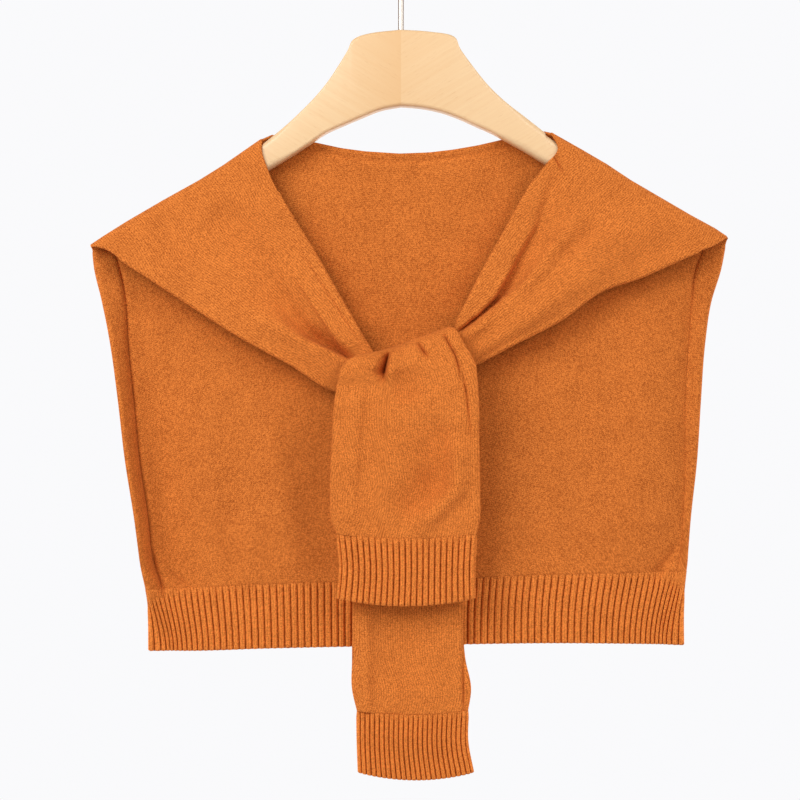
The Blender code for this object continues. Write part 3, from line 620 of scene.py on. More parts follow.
def smooth(rows, along, value, at):
    """Value on the smooth curve through a table's rows."""
    place, height = rising(rows, along, value)
    slope = np.gradient(height, place)
    at = np.clip(at, place[0], place[-1])
    left = np.clip(np.searchsorted(place, at) - 1, 0, len(place) - 2)
    step = place[left + 1] - place[left]
    t = (at - place[left]) / step
    keep = (1 + 2 * t) * (1 - t) ** 2 * height[left]
    keep_slope = t * (1 - t) ** 2 * step * slope[left]
    take = t * t * (3 - 2 * t) * height[left + 1]
    take_slope = t * t * (t - 1) * step * slope[left + 1]
    return keep + keep_slope + take + take_slope


def straight(rows, along, value, at):
    """Value on the straight lines through a table's rows."""
    return np.interp(at, *rising(rows, along, value))


def ease(t):
    """A soft step from 0 to 1."""
    t = np.clip(t, 0.0, 1.0)
    return t * t * (3 - 2 * t)


def bump(distance):
    """A round bump, 1 in the middle and nearly 0 past a distance of 2."""
    return np.exp(-distance * distance)


def unit(vectors):
    """Vectors of length 1 in the same directions."""
    return vectors / np.linalg.norm(vectors, axis=-1, keepdims=True)


def shell_normals(points, closed):
    """Unit normals of a grid of points, rows by columns."""
    down = np.gradient(points, axis=0)
    if closed:
        across = np.roll(points, -1, axis=1) - np.roll(points, 1, axis=1)
    else:
        across = np.gradient(points, axis=1)
    return unit(np.cross(down, across))


def fold_offset(x, z, rows):
    """Depth of all the folds of a table at places seen from the front."""
    total = np.zeros(np.shape(x))
    for index in range(len(rows["back"])):
        start = np.array((rows["x_top"][index], rows["z_top"][index]))
        line = np.array((rows["x_end"][index], rows["z_end"][index])) - start
        length = np.linalg.norm(line)
        along = ((x - start[0]) * line[0] + (z - start[1]) * line[1]) / length ** 2
        aside = ((x - start[0]) * line[1] - (z - start[1]) * line[0]) / length
        fade = ease((along + FOLD_FADE) / (2 * FOLD_FADE))
        fade = fade * ease((1 + FOLD_FADE - along) / (2 * FOLD_FADE))
        part = np.clip(along, 0.0, 1.0)
        is_above = aside * math.copysign(1.0, line[0]) < 0
        width = np.where(is_above, rows["above"][index], rows["below"][index])
        width = width * (1 + (rows["narrows"][index] - 1) * part)
        back = rows["back"][index] + (rows["end_back"][index] - rows["back"][index]) * part
        total = total + back * bump(aside / width) * fade
    return total


def side_depth(rows, from_edge, z):
    """What one side of the panel adds to its depth: the lead, the crease and the turned strip."""
    turn = smooth(rows, "z", "turn", z)
    inside = from_edge - turn
    nearer = np.clip(1 - inside / smooth(rows, "z", "span", z), 0.0, 1.0)
    lead = smooth(rows, "z", "lead", z) * nearer ** 2
    width = np.where(inside > 0, smooth(rows, "z", "soft", z), SLIT_OUTSIDE)
    slit = smooth(rows, "z", "slit", z) * bump(inside / width)
    forward = smooth(rows, "z", "reach", z) * np.clip(-inside / turn, 0.0, 1.0) ** TURN_POWER
    rim = RIM_BACK * np.clip(1 - from_edge / RIM_WIDTH, 0.0, 1.0) ** 2
    return lead + slit - forward + rim


def panel_depth(x, z):
    """How far back the panel or its hem lies at a place seen from the front."""
    y = smooth(PANEL_HANG, "z", "y", z) + fold_offset(x, z, PANEL_FOLDS)
    left = side_depth(LEFT_SIDE, x - smooth(LEFT_SIDE, "z", "edge", z), z)
    right = side_depth(RIGHT_SIDE, smooth(RIGHT_SIDE, "z", "edge", z) - x, z)
    return y + left + right


def panel_columns(turn_columns, shoulder_columns, neck_columns):
    """Share of the left turn, the flat part and the right turn that each column has passed."""
    left = LEFT_SIDE["edge"][0] + LEFT_SIDE["turn"][0]
    right = RIGHT_SIDE["edge"][0] - RIGHT_SIDE["turn"][0]
    from_crease = np.linspace(0.0, 1.0, shoulder_columns) ** SIDE_COLUMN_POWER
    flat_x = np.concatenate((
        left + (NECK_LEFT - left) * from_crease,
        np.linspace(NECK_LEFT_INNER, NECK_RIGHT_INNER, neck_columns),
        right + (NECK_RIGHT - right) * from_crease[::-1],
    ))
    flat = (flat_x - left) / (right - left)
    turned = np.linspace(0.0, 1.0, turn_columns + 1)[:-1]
    none = np.zeros(turn_columns)
    full = np.ones(turn_columns)
    left_share = np.concatenate((turned, np.ones(len(flat)), full))
    flat_share = np.concatenate((none, flat, full))
    right_share = np.concatenate((none, np.zeros(len(flat)), 1 - turned[::-1]))
    return left_share, flat_share, right_share


def column_x(shares, z):
    """Where the panel's columns lie across it at a height."""
    left_share, flat_share, right_share = shares
    z = np.minimum(z, LEFT_SIDE["z"][0])
    left = smooth(LEFT_SIDE, "z", "edge", z)
    right = smooth(RIGHT_SIDE, "z", "edge", z)
    left_turn = smooth(LEFT_SIDE, "z", "turn", z)
    right_turn = smooth(RIGHT_SIDE, "z", "turn", z)
    flat = right - left - left_turn - right_turn
    return left + left_turn * left_share + flat * flat_share + right_turn * right_share


def panel_grid():
    """Middle points of the back panel, from the shoulders down to the hem."""
    shares = panel_columns(PANEL_TURN_COLUMNS, PANEL_SHOULDER_COLUMNS, PANEL_NECK_COLUMNS)
    top_x = column_x(shares, LEFT_SIDE["z"][0])
    top_z = straight(TOP_EDGE, "x", "z", top_x) - KNIT_THICK / 2
    over = straight(TOP_EDGE, "x", "over", top_x)
    low_z = smooth(HEM_LINES, "x", "top", column_x(shares, PANEL_FOOT))
    spring = top_z - CREST_DROP
    grid = []
    for bend in np.linspace(0.0, 1.0, PANEL_BEND_ROWS):
        angle = bend * math.pi / 2
        z = top_z - CREST_DROP * (over * (1 - math.cos(angle)) + (1 - over) * bend)
        x = column_x(shares, z)
        hang = panel_depth(x, z)
        y = over * (SEAM_GAP / 2 + (hang - SEAM_GAP / 2) * math.sin(angle)) + (1 - over) * hang
        grid.append(np.stack((x, y, z), axis=1))
    for drop in np.linspace(0.0, 1.0, PANEL_HANG_ROWS)[1:]:
        z = spring + (low_z - spring) * drop
        x = column_x(shares, z)
        grid.append(np.stack((x, panel_depth(x, z), z), axis=1))
    grid = np.array(grid)
    below_edge = top_z[None, :] - grid[:, :, HIGH]
    for depth, width, back in NECK_LINES:
        groove = back * bump((below_edge - depth) / width) * (1 - over[None, :])
        grid[:, :, DEEP] += groove
    return grid


def trim_grid(panel):
    """Middle points of the trim along the back neck, on the outside of the panel."""
    first = PANEL_TURN_COLUMNS + PANEL_SHOULDER_COLUMNS
    edge = panel[0, first:first + PANEL_NECK_COLUMNS]
    behind = KNIT_THICK / 2 + SEAM_GAP + TRIM_THICK / 2
    band = []
    for drop in np.linspace(0.0, TRIM_HEIGHT, TRIM_ROWS):
        row = edge.copy()
        crown = TRIM_CROWN * math.sin(math.pi * drop / TRIM_HEIGHT)
        row[:, DEEP] = panel_depth(row[:, WIDE], row[:, HIGH] - drop) + behind + crown
        row[:, HIGH] = row[:, HIGH] - drop
        band.append(row)
    return np.array(band)


def rib_rise(late):
    """How far the ribs have risen from the plain knit, row by row; late ones begin lower down."""
    drop = np.linspace(0.0, 1.0, RIB_ROWS)
    return ease(RIB_FIRST + (drop[:, None] - late[None, :]) / RIB_FADE_IN)


def rib_profile(ribs):
    """Lift of each point across a run of ribs: round ridges with narrow grooves."""
    phase = np.tile(np.arange(RIB_POINTS) / RIB_POINTS, ribs)
    from_groove = np.minimum(phase, 1 - phase)
    crown = 1 - (1 - 2 * from_groove) ** RIB_SQUARENESS
    return RIB_RISE * crown - (RIB_GROOVE - RIB_RISE) * bump(from_groove / GROOVE_WIDTH)


def hem_ends():
    """How near each point across the hem lies to one of its ends."""
    share = np.linspace(0.0, 1.0, HEM_RIBS * RIB_POINTS)
    return np.exp(-share / HEM_SQUEEZE_REACH) + np.exp((share - 1) / HEM_SQUEEZE_REACH)


def hem_fan(from_end):
    """How far the foot of a rib lies nearer to the middle than its top."""
    start = 1 - np.exp(-from_end / HEM_FAN_START)
    return HEM_FAN * start * np.exp(-from_end / HEM_FAN_REACH)


def hem_grid():
    """Middle points of the ribbed hem, whose ends turn forward with the panel."""
    ends = hem_ends()
    left_levels = np.linspace(HEM_LINES["top"][0], HEM_LINES["bottom"][0], RIB_ROWS)
    right_levels = np.linspace(HEM_LINES["top"][-1], HEM_LINES["bottom"][-1], RIB_ROWS)
    grid = []
    pace = 1 - HEM_SQUEEZE * ends
    place = np.concatenate(((0.0,), np.cumsum((pace[1:] + pace[:-1]) / 2)))
    for row, drop in enumerate(np.linspace(0.0, 1.0, RIB_ROWS)):
        left = smooth(LEFT_SIDE, "z", "edge", left_levels[row])
        right = smooth(RIGHT_SIDE, "z", "edge", right_levels[row])
        x = left + (right - left) * place / place[-1]
        x = x + ease(drop) * (hem_fan(x - left) - hem_fan(right - x))
        top = smooth(HEM_LINES, "x", "top", x) + SEAM_LAP
        z = top + (smooth(HEM_LINES, "x", "bottom", x) - top) * drop
        grid.append(np.stack((x, panel_depth(x, z), z), axis=1))
    return np.array(grid)


def edge_curve(edge, at):
    """Points along a drape's edge, by the share of its length."""
    steps = np.hypot(np.diff(edge["x"]), np.diff(edge["z"]))
    share = np.concatenate(((0.0,), np.cumsum(steps)))
    rows = {"share": share / share[-1], "x": edge["x"], "z": edge["z"]}
    return smooth(rows, "share", "x", at), smooth(rows, "share", "z", at)


def crest_height(x):
    """Height of the shoulder line over the arms, carried on in a straight line at the neck."""
    on_arm = TOP_EDGE["over"] == 1
    left = {key: TOP_EDGE[key][on_arm & (TOP_EDGE["x"] < 0)] for key in ("x", "z")}
    right = {key: TOP_EDGE[key][on_arm & (TOP_EDGE["x"] > 0)] for key in ("x", "z")}
    slope = math.tan(ARM_SLOPE)
    left_z = straight(left, "x", "z", x) + np.maximum(x - NECK_LEFT, 0) * slope
    right_z = straight(right, "x", "z", x) + np.maximum(NECK_RIGHT - x, 0) * slope
    return np.where(x < 0, left_z, right_z) - KNIT_THICK / 2


def turn_share(along, start):
    """How much of a drape's edge turns back at a share of its length."""
    grown = ease((along - start) / TURN_BACK_GROWS)
    return grown * ease((TURN_BACK_ENDS - along) / TURN_BACK_SHRINKS)


def turned_edge(past, turn, room):
    """Distances outwards and back of places that lie some share past a drape's edge."""
    run = past * turn * np.maximum(room - TURN_BACK_CLEAR, 0.0)
    radius = max(turn * TURN_BACK_RADIUS, SMALLEST_RADIUS)
    angle = np.minimum(run / radius, math.pi / 2)
    outwards = radius * (np.sin(angle) - 1)
    back = radius * (1 - np.cos(angle)) + np.maximum(run - radius * math.pi / 2, 0.0)
    return outwards, back


def strand_shares(along):
    """Where the strands of a row lie across a drape, and how its two edges turn back.

    For each edge that is the share past the edge at which every strand lies, and how much it turns.
    """
    strands = np.linspace(0.0, 1.0, DRAPE_STRANDS)
    inner_turn = turn_share(along, INNER_TURN_STARTS)
    outer_turn = turn_share(along, OUTER_TURN_STARTS)
    inner_strands = TURN_BACK_STRANDS * inner_turn
    outer_strands = TURN_BACK_STRANDS * outer_turn
    across = np.clip((strands - inner_strands) / (1 - inner_strands - outer_strands), 0.0, 1.0)
    inner_past = np.clip(1 - strands / max(inner_strands, SMALLEST_SHARE), 0.0, 1.0)
    outer_past = np.clip(1 - (1 - strands) / max(outer_strands, SMALLEST_SHARE), 0.0, 1.0)
    return across, (inner_past, inner_turn), (outer_past, outer_turn)


def over_arm(x, z, far_tip):
    """Depth of a drape where it bends over an arm and hangs down in front of it."""
    below = np.maximum((crest_height(x) - z) * math.cos(ARM_SLOPE), 0.0)
    beyond = ease((abs(far_tip) - np.abs(x)) / TIP_LENGTH)
    radius = TIP_RADIUS + (CREST_RADIUS - TIP_RADIUS) * beyond
    part = np.clip(below / radius, 0.0, 1.0)
    return -SEAM_GAP / 2 - (radius - SEAM_GAP / 2) * np.sqrt(1 - (1 - part) ** 2)


def strand_folds(folds, along, across):
    """Depth of the folds that run along a drape."""
    total = np.zeros(len(across))
    for index in range(len(folds["back"])):
        reach = ease((along - folds["start"][index]) / (1 - folds["start"][index]))
        shape = bump((across - folds["across"][index]) / folds["half_width"][index])
        total = total + folds["back"][index] * reach * shape
    return total


def drape_row(inner, outer, folds, creases, along):
    """Middle points across a drape, from its inner to its outer edge, at a share of its length."""
    across, inner_turn, outer_turn = strand_shares(along)
    inner_x, inner_z = edge_curve(inner, along)
    outer_x, outer_z = edge_curve(outer, along)
    wide = outer_x - inner_x
    high = outer_z - inner_z
    x = inner_x + wide * across
    z = inner_z + high * across
    start_x = inner["x"][0] + (outer["x"][0] - inner["x"][0]) * across
    start_z = inner["z"][0] + (outer["z"][0] - inner["z"][0]) * across
    z = z + (crest_height(start_x) - start_z) * (1 - ease(along / CREST_SHARE))
    forward = ease((along - DRAPE_LEAVES_ARM) / (1 - DRAPE_LEAVES_ARM))
    y = over_arm(x, z, outer["x"][0]) + (DRAPE_KNOT_Y + CREST_RADIUS) * forward
    y = y + strand_folds(folds, along, across)
    y = y + fold_offset(x, z, creases) * ease(along / CREASES_START)
    room = panel_depth(x, z) - y
    inner_out, inner_back = turned_edge(*inner_turn, room)
    outer_out, outer_back = turned_edge(*outer_turn, room)
    sideways = (outer_out * across - inner_out * (1 - across)) / np.hypot(wide, high)
    return np.stack((x + wide * sideways, y + inner_back + outer_back, z + high * sideways), axis=1)


def drape_grid(inner, outer, folds, creases):
    """Middle points of a drape, rows from the shoulder to the knot, strands from left to right."""
    shares = np.linspace(0.0, 1.0, DRAPE_ROWS) ** DRAPE_ROW_POWER
    grid = np.array([drape_row(inner, outer, folds, creases, along) for along in shares])
    return grid[:, ::-1] if outer["x"][0] < 0 else grid


def bar_middle_z(x):
    """Height of the middle of the stretch inside the knot."""
    return BAR_LEFT_Z + (BAR_RIGHT_Z - BAR_LEFT_Z) * (x - BAR_LEFT) / (BAR_RIGHT - BAR_LEFT)


def flat_ring(columns, width, depth):
    """A pressed ring whose folds lie near its front: offsets across and through."""
    run = width - depth
    round_end = math.pi * depth / 2
    at = (np.arange(columns) + 0.5) / columns * 2 * (run + round_end)
    right_turn = np.clip((at - run) / round_end, 0.0, 1.0) * math.pi
    left_turn = np.clip((at - 2 * run - round_end) / round_end, 0.0, 1.0) * math.pi
    forth = np.clip(at, 0.0, run)
    back = np.clip(at - run - round_end, 0.0, run)
    across = forth - run / 2 - back + depth / 2 * (np.sin(right_turn) - np.sin(left_turn))
    turn = right_turn - left_turn
    past_fold = np.maximum(-np.cos(turn), 0.0)
    to_fold = 1 - np.maximum(np.cos(turn), 0.0)
    through = -depth / 2 + PRESSED_FOLD * to_fold + (depth - PRESSED_FOLD) * past_fold
    return across, through


def front_weight(through, depth):
    """1 on the front side of a flattened tube and 0 on its back."""
    return ease(0.5 - FRONT_STEEPNESS * through / depth)


def drop_grid(rows, columns, count, top_sag, low_sag):
    """Middle points of a hanging tube, and how much each lies on its front side."""
    grid = []
    front = []
    for share in np.linspace(0.0, 1.0, count):
        level = rows["z"][0] + (rows["z"][-1] - rows["z"][0]) * share
        row = {key: smooth(rows, "z", key, level) for key in rows}
        width = row["right"] - row["left"]
        across, through = flat_ring(columns, width, row["depth"])
        sag = top_sag + (low_sag - top_sag) * share
        x = (row["left"] + row["right"]) / 2 + across
        y = row["y"] + through
        z = level - sag * (1 - (2 * across / width) ** 2)
        grid.append(np.stack((x, y, z), axis=1))
        front.append(front_weight(through, row["depth"]))
    return np.array(grid), np.array(front)


def wrap_grid(columns, count):
    """The front tail where it comes up behind the knot and over its top."""
    grid = []
    front = []
    middle_x = (BAR_LEFT + BAR_RIGHT) / 2
    middle_z = bar_middle_z(middle_x)
    first = TAIL_FRONT_WRAP["turn"][0]
    last = TAIL_FRONT_WRAP["turn"][-1]
    for turn in np.linspace(first, last, count):
        row = {key: smooth(TAIL_FRONT_WRAP, "turn", key, turn) for key in TAIL_FRONT_WRAP}
        across, through = flat_ring(columns, row["right"] - row["left"], row["depth"])
        angle = math.radians(turn)
        x = (row["left"] + row["right"]) / 2 + across
        y = BAR_DEPTH_Y + (TAIL_WRAP_RADIUS_Y - through) * math.cos(angle)
        z = middle_z + (TAIL_WRAP_RADIUS_Z - through) * math.sin(angle)
        fade = ease((turn - TAIL_TILT_FADES) / (last - TAIL_TILT_FADES))
        tilt = TAIL_TILT * ease((turn - first) / TAIL_TILT_STARTS) * (1 - (1 - TAIL_TILT_LEFT) * fade)
        lift = row["lift_left"] * ease((middle_x - x) / (middle_x - row["left"]))
        z = z + tilt * (x - middle_x) + lift
        grid.append(np.stack((x, y, z), axis=1))
        front.append(front_weight(through, row["depth"]))
    return np.array(grid), np.array(front)


def tail_grids():
    """Middle points of the front tail and of the back tail."""
    wrap, wrap_front = wrap_grid(TAIL_COLUMNS, TAIL_WRAP_ROWS)
    drop, drop_front = drop_grid(TAIL_FRONT_DROP, TAIL_COLUMNS, TAIL_DROP_ROWS, 0.0, CUFF_TOP_SAG)
    front = np.concatenate((wrap, drop))
    over_top = np.concatenate((ease(np.linspace(*WRAP_RAMP, TAIL_WRAP_ROWS)), np.ones(TAIL_DROP_ROWS)))
    crease = fold_offset(front[:, :, WIDE], front[:, :, HIGH], TAIL_CREASES)
    over_wrap = KNOT_REAR_SHARE + (1 - KNOT_REAR_SHARE) * wrap_front
    below = TAIL_REAR_SHARE + (1 - TAIL_REAR_SHARE) * drop_front
    weight = np.concatenate((over_wrap, below))
    front[:, :, DEEP] += crease * weight * over_top[:, None]
    pit = fold_offset(wrap[:, :, WIDE], wrap[:, :, HIGH], KNOT_PIT)
    in_pit = PIT_REAR_SHARE + (1 - PIT_REAR_SHARE) * wrap_front
    front[:len(wrap), :, DEEP] += pit * in_pit * over_top[:len(wrap), None]
    back, back_front = drop_grid(TAIL_BACK, TAIL_COLUMNS, TAIL_BACK_ROWS, 0.0, CUFF_TOP_SAG)
    back[:, :, DEEP] += fold_offset(back[:, :, WIDE], back[:, :, HIGH], TAIL_BACK_CREASES) * back_front
    below_top = TAIL_BACK["z"][0] - back[:, :, HIGH]
    tilt = TAIL_BACK_TILT * (1 - ease(below_top / TAIL_BACK_TILT_LENGTH))
    back[:, :, HIGH] += tilt * (back[:, :, WIDE] - (BAR_LEFT + BAR_RIGHT) / 2)
    return front, back


def arc_lengths(points, axis):
    """Distance walked along one direction of a grid."""
    steps = np.linalg.norm(np.diff(points, axis=axis), axis=2)
    start = np.zeros_like(np.take(steps, (0,), axis=axis))
    return np.concatenate((start, np.cumsum(steps, axis=axis)), axis=axis)


def with_seam(middle, closed):
    """The grid, with its first column again at the end on a closed ring."""
    return np.concatenate((middle, middle[:, :1]), axis=1) if closed else middle


def stitch_places(middle, closed):
    """Stitch numbers across and down at each point, with one more column on a closed ring."""
    points = with_seam(middle, closed)
    across = arc_lengths(points, axis=1)
    across = across - across[:, -1:] / 2
    down = arc_lengths(points, axis=0)
    return np.stack((across / WALE, -down / COURSE), axis=2)


def rib_places(middle, closed):
    """The same on ribbing, with a fixed number of stitches to each rib."""
    points = with_seam(middle, closed)
    rows, columns = points.shape[:2]
    across = np.tile(np.arange(columns) * STITCHES_PER_RIB / RIB_POINTS, (rows, 1))
    down = arc_lengths(points, axis=0)
    return np.stack((across, -down / COURSE), axis=2)


def inset_edges(middle, closed, seams):
    """The grid with its open edges drawn in a little, and hardly at all at a seam."""
    inset = middle.copy()
    for row, inner in ((0, 1), (-1, -2)):
        by = SEAM_ROUNDING if row in seams else EDGE_ROUNDING
        inset[row] += by * unit(middle[inner] - middle[row])
    if not closed:
        inset[:, 0] += EDGE_ROUNDING * unit(middle[:, 1] - middle[:, 0])
        inset[:, -1] += EDGE_ROUNDING * unit(middle[:, -2] - middle[:, -1])
    return inset


def edge_loops(rows, columns, closed):
    """The grid places along each open edge, with the cloth on the right hand."""
    if closed:
        ring = np.arange(columns + 1)
        return [
            np.stack((np.zeros_like(ring), ring), axis=1),
            np.stack((np.full_like(ring, rows - 1), ring[::-1]), axis=1),
        ]
    last_row = rows - 1
    last_column = columns - 1
    around = [(0, column) for column in range(last_column)]
    around += [(row, last_column) for row in range(last_row)]
    around += [(last_row, column) for column in range(last_column, 0, -1)]
    around += [(row, 0) for row in range(last_row, -1, -1)]
    return [np.array(around)]


def wall_corners(rows, columns, closed):
    """Corners of the quads of a wall, each as (side, row, column): outer 0, inner 1, edge 2."""
    spans = columns if closed else columns - 1
    row, column = (part.ravel() for part in np.mgrid[0:rows - 1, 0:spans])
    faces = []
    outer = ((row, column), (row + 1, column), (row + 1, column + 1), (row, column + 1))
    for side, order in ((0, outer), (1, outer[::-1])):
        corners = [np.stack((np.full_like(r, side), r, c), axis=1) for r, c in order]
        faces.append(np.stack(corners, axis=1))
    for loop in edge_loops(rows, columns, closed):
        here = loop[:-1]
        there = loop[1:]
        for near, far in ((0, 2), (2, 1)):
            order = ((near, here), (near, there), (far, there), (far, here))
            corners = [np.column_stack((np.full(len(place), side), place)) for side, place in order]
            faces.append(np.stack(corners, axis=1))
    return np.concatenate(faces)


def add_wall(name, middle, thick, closed, places, lift=0.0, under=0.0, rise=None, square=()):
    """A cloth shell round a grid of middle points, with rounded edges.

    lift raises its outer face and under its inner face, as ribs do, and rise is the share
    of the ribs' height that each point has.
    square names the rows whose cut edge faces straight along an axis, as (row, axis).
    """
    normal = shell_normals(middle, closed)
    for row, axis in square:
        seam = np.abs(normal[row, :, axis]) < SEAM_FACING
        normal[row, seam, axis] = 0.0
        normal[row] = unit(normal[row])
    inset = inset_edges(middle, closed, [row for row, axis in square])
    outer = inset + normal * (lift + thick / 2)
    inner = inset - normal * (under + thick / 2)
    rows, columns = middle.shape[:2]
    edge = middle + normal * (lift - under) / 2
    points = np.concatenate([part.reshape(-1, 3) for part in (outer, inner, edge)])
    corners = wall_corners(rows, columns, closed)
    side, row, column = np.moveaxis(corners, 2, 0)
    number = (side * rows + row) * columns + column % columns
    used, quads = np.unique(number, return_inverse=True)
    quads = quads.reshape(number.shape)
    mesh = bpy.data.meshes.new(name)
    mesh.from_pydata((points[used] * MM).tolist(), [], quads.tolist())
    stitches = mesh.uv_layers.new(name=STITCH_MAP)
    stitches.data.foreach_set("uv", places[row, column].ravel())
    if rise is not None:
        risen = rise[row, column % columns]
        rises = mesh.uv_layers.new(name=RISE_MAP)
        rises.data.foreach_set("uv", np.stack((risen, risen), axis=-1).ravel())
    inside = (side == 1).any(axis=1)
    mesh.polygons.foreach_set("material_index", inside.astype(np.int32))
    mesh.shade_smooth()
    return add_object(name, mesh)


def add_object(name, mesh):
    """An object for a mesh, riding on the part's one body."""
    thing = bpy.data.objects.new("dressed_" + name, mesh)
    bpy.context.collection.objects.link(thing)
    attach(thing, "root")
    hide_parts(name)
    return thing


def tube_faces(sections, around):
    """Faces of a solid lofted through rings, with a flat face at each end."""
    faces = [tuple(range(around))[::-1], tuple(range((sections - 1) * around, sections * around))]
    for section in range(sections - 1):
        for step in range(around):
            a = section * around + step
            b = section * around + (step + 1) % around
            faces.append((a, b, b + around, a + around))
    return faces


def add_solid(name, rings):
    """A solid lofted through rings of points."""
    sections, around = rings.shape[:2]
    mesh = bpy.data.meshes.new(name)
    mesh.from_pydata((rings.reshape(-1, 3) * MM).tolist(), [], tube_faces(sections, around))
    shape = bmesh.new()
    shape.from_mesh(mesh)
    bmesh.ops.recalc_face_normals(shape, faces=shape.faces)
    shape.to_mesh(mesh)
    shape.free()
    mesh.shade_smooth()
    mesh.set_sharp_from_angle(angle=SHARP_ANGLE)
    return add_object(name, mesh)


def knot_grid():
    """Middle points of the gathered stretch inside the knot, going round as it goes right."""
    angle = 2 * math.pi * np.arange(KNOT_COLUMNS) / KNOT_COLUMNS
    gather = KNIT_THICK / 2 + BAR_GATHER_DEPTH * (1 - np.cos(BAR_GATHERS * angle)) / 2
    grid = []
    for x in np.linspace(BAR_LEFT, BAR_RIGHT, KNOT_ROWS):
        y = BAR_DEPTH_Y + (BAR_HALF_DEPTH - gather) * np.cos(angle)
        z = bar_middle_z(x) + (BAR_HALF_HEIGHT - gather) * np.sin(angle)
        facing = np.clip(-np.cos(angle), 0.0, 1.0)
        y = y + fold_offset(np.full(KNOT_COLUMNS, x), z, CROSSING_DENT) * facing
        grid.append(np.stack((np.full(KNOT_COLUMNS, x), y, z), axis=1))
    return np.array(grid)


def hanger_rings(rows):
    """Rings of one wooden half, on smooth lines through its sections."""
    station = np.arange(len(rows["top_x"]), dtype=float)
    rows = dict(rows, station=station)
    rings = []
    for at in np.linspace(0.0, station[-1], WOOD_SECTIONS):
        row = {key: smooth(rows, "station", key, at) for key in rows}
        top = np.array((row["top_x"], row["top_z"]))
        low = np.array((row["low_x"], row["low_z"]))
        half_height = np.linalg.norm(top - low) / 2
        up = (top - low) / (2 * half_height)
        middle = (top + low) / 2
        past_head = np.clip((abs(middle[0]) - HEAD_REACH) / HEAD_FADE, 0.0, 1.0)
        rounding = HEAD_ROUNDING + (WOOD_ROUNDING - HEAD_ROUNDING) * past_head
        rounding = min(rounding, half_height * WOOD_ROUNDING_MOST)
        ring = []
        for quarter, (side, end) in enumerate(((1, 1), (-1, 1), (-1, -1), (1, -1))):
            for angle in np.radians(90 * quarter + np.linspace(0.0, 90.0, WOOD_CORNER_STEPS)):
                y = side * (WOOD_HALF_THICK - rounding) + rounding * math.cos(angle)
                height = end * (half_height - rounding) + rounding * math.sin(angle)
                ring.append((middle[0] + up[0] * height, y, middle[1] + up[1] * height))
        rings.append(ring)
    return np.array(rings)


def hook_path():
    """Middle line of the hook's wire: a straight stem, a bend to the right and a round top."""
    radius = HOOK_INNER_RADIUS + HOOK_WIRE_RADIUS
    centre_z = -HOOK_INNER_RADIUS
    join = math.radians(HOOK_JOIN_ANGLE)
    joined = np.array((radius * math.cos(join), centre_z + radius * math.sin(join)))
    heading = np.array((-math.sin(join), math.cos(join)))
    foot = np.array((0.0, HOOK_STEM_FOOT))
    bend_start = np.array((0.0, HOOK_STEM_TOP))
    handle = HOOK_HANDLE * np.linalg.norm(joined - bend_start)
    first = bend_start + np.array((0.0, handle))
    second = joined - heading * handle
    path = list(np.linspace(foot, bend_start, HOOK_STEM_STEPS)[:-1])
    for t in np.linspace(0.0, 1.0, HOOK_BEND_STEPS):
        away = 1 - t
        point = away ** 3 * bend_start + 3 * away ** 2 * t * first
        path.append(point + 3 * away * t * t * second + t ** 3 * joined)
    for angle in np.radians(np.linspace(HOOK_JOIN_ANGLE, HOOK_END_ANGLE, HOOK_ROUND_STEPS)[1:]):
        path.append(np.array((radius * math.cos(angle), centre_z + radius * math.sin(angle))))
    return np.array(path)


def hook_rings():
    """Rings of the hook's round wire, which lies in one plane, with a rounded free end."""
    path = hook_path()
    heading = unit(np.gradient(path, axis=0))
    turn = 2 * math.pi * np.arange(HOOK_SIDES) / HOOK_SIDES
    rings = []
    for (x, z), (along_x, along_z) in zip(path, heading):
        across = HOOK_WIRE_RADIUS * np.cos(turn)
        deep = HOOK_WIRE_RADIUS * np.sin(turn)
        rings.append(np.stack((x + along_z * across, deep, z - along_x * across), axis=1))
    centre = np.array((path[-1][0], 0.0, path[-1][1]))
    onward = np.array((heading[-1][0], 0.0, heading[-1][1])) * HOOK_WIRE_RADIUS
    last = rings[-1] - centre
    for angle in np.radians(np.linspace(0.0, HOOK_CAP_TURN, HOOK_CAP_STEPS)[1:]):
        rings.append(centre + last * math.cos(angle) + onward * math.sin(angle))
    return np.array(rings)


def start_material(name, surface):
    """A new material with the constants of its surface set, its node tree and its shader's inputs."""
    material = bpy.data.materials.new(name)
    material.use_nodes = True
    tree = material.node_tree
    inputs = tree.nodes["Principled BSDF"].inputs
    for key, value in surface.items():
        inputs[key].default_value = value
    return material, tree, inputs


def add_node(tree, kind, links=(), **settings):
    """A node with its properties set and its inputs set or linked, as (input, value)."""
    node = tree.nodes.new(kind)
    for key, value in settings.items():
        setattr(node, key, value)
    for key, value in links:
        if isinstance(value, bpy.types.NodeSocket):
            tree.links.new(value, node.inputs[key])
        else:
            node.inputs[key].default_value = value
    return node


def calculate(tree, operation, *values):
    """The result of a math node whose inputs are numbers or other results."""
    return add_node(tree, "ShaderNodeMath", tuple(enumerate(values)), operation=operation).outputs[0]


def mixed(tree, share, first, second):
    """A colour between two colours."""
    links = (("Factor", share), (MIX_FIRST, first), (MIX_SECOND, second))
    return add_node(tree, "ShaderNodeMix", links, data_type="RGBA").outputs[MIX_RESULT]


def wave(tree, turns):
    """A wave from 0 to 1, one for each whole turn."""
    angle = calculate(tree, "MULTIPLY", turns, 2 * math.pi)
    return calculate(tree, "MULTIPLY_ADD", calculate(tree, "COSINE", angle), 0.5, 0.5)


def noise(tree, scale, place, detail=2.0):
    """Soft noise from 0 to 1 at a number of blotches to the unit of place."""
    links = (("Vector", place), ("Scale", scale), ("Detail", detail))
    return add_node(tree, "ShaderNodeTexNoise", links).outputs["Fac"]


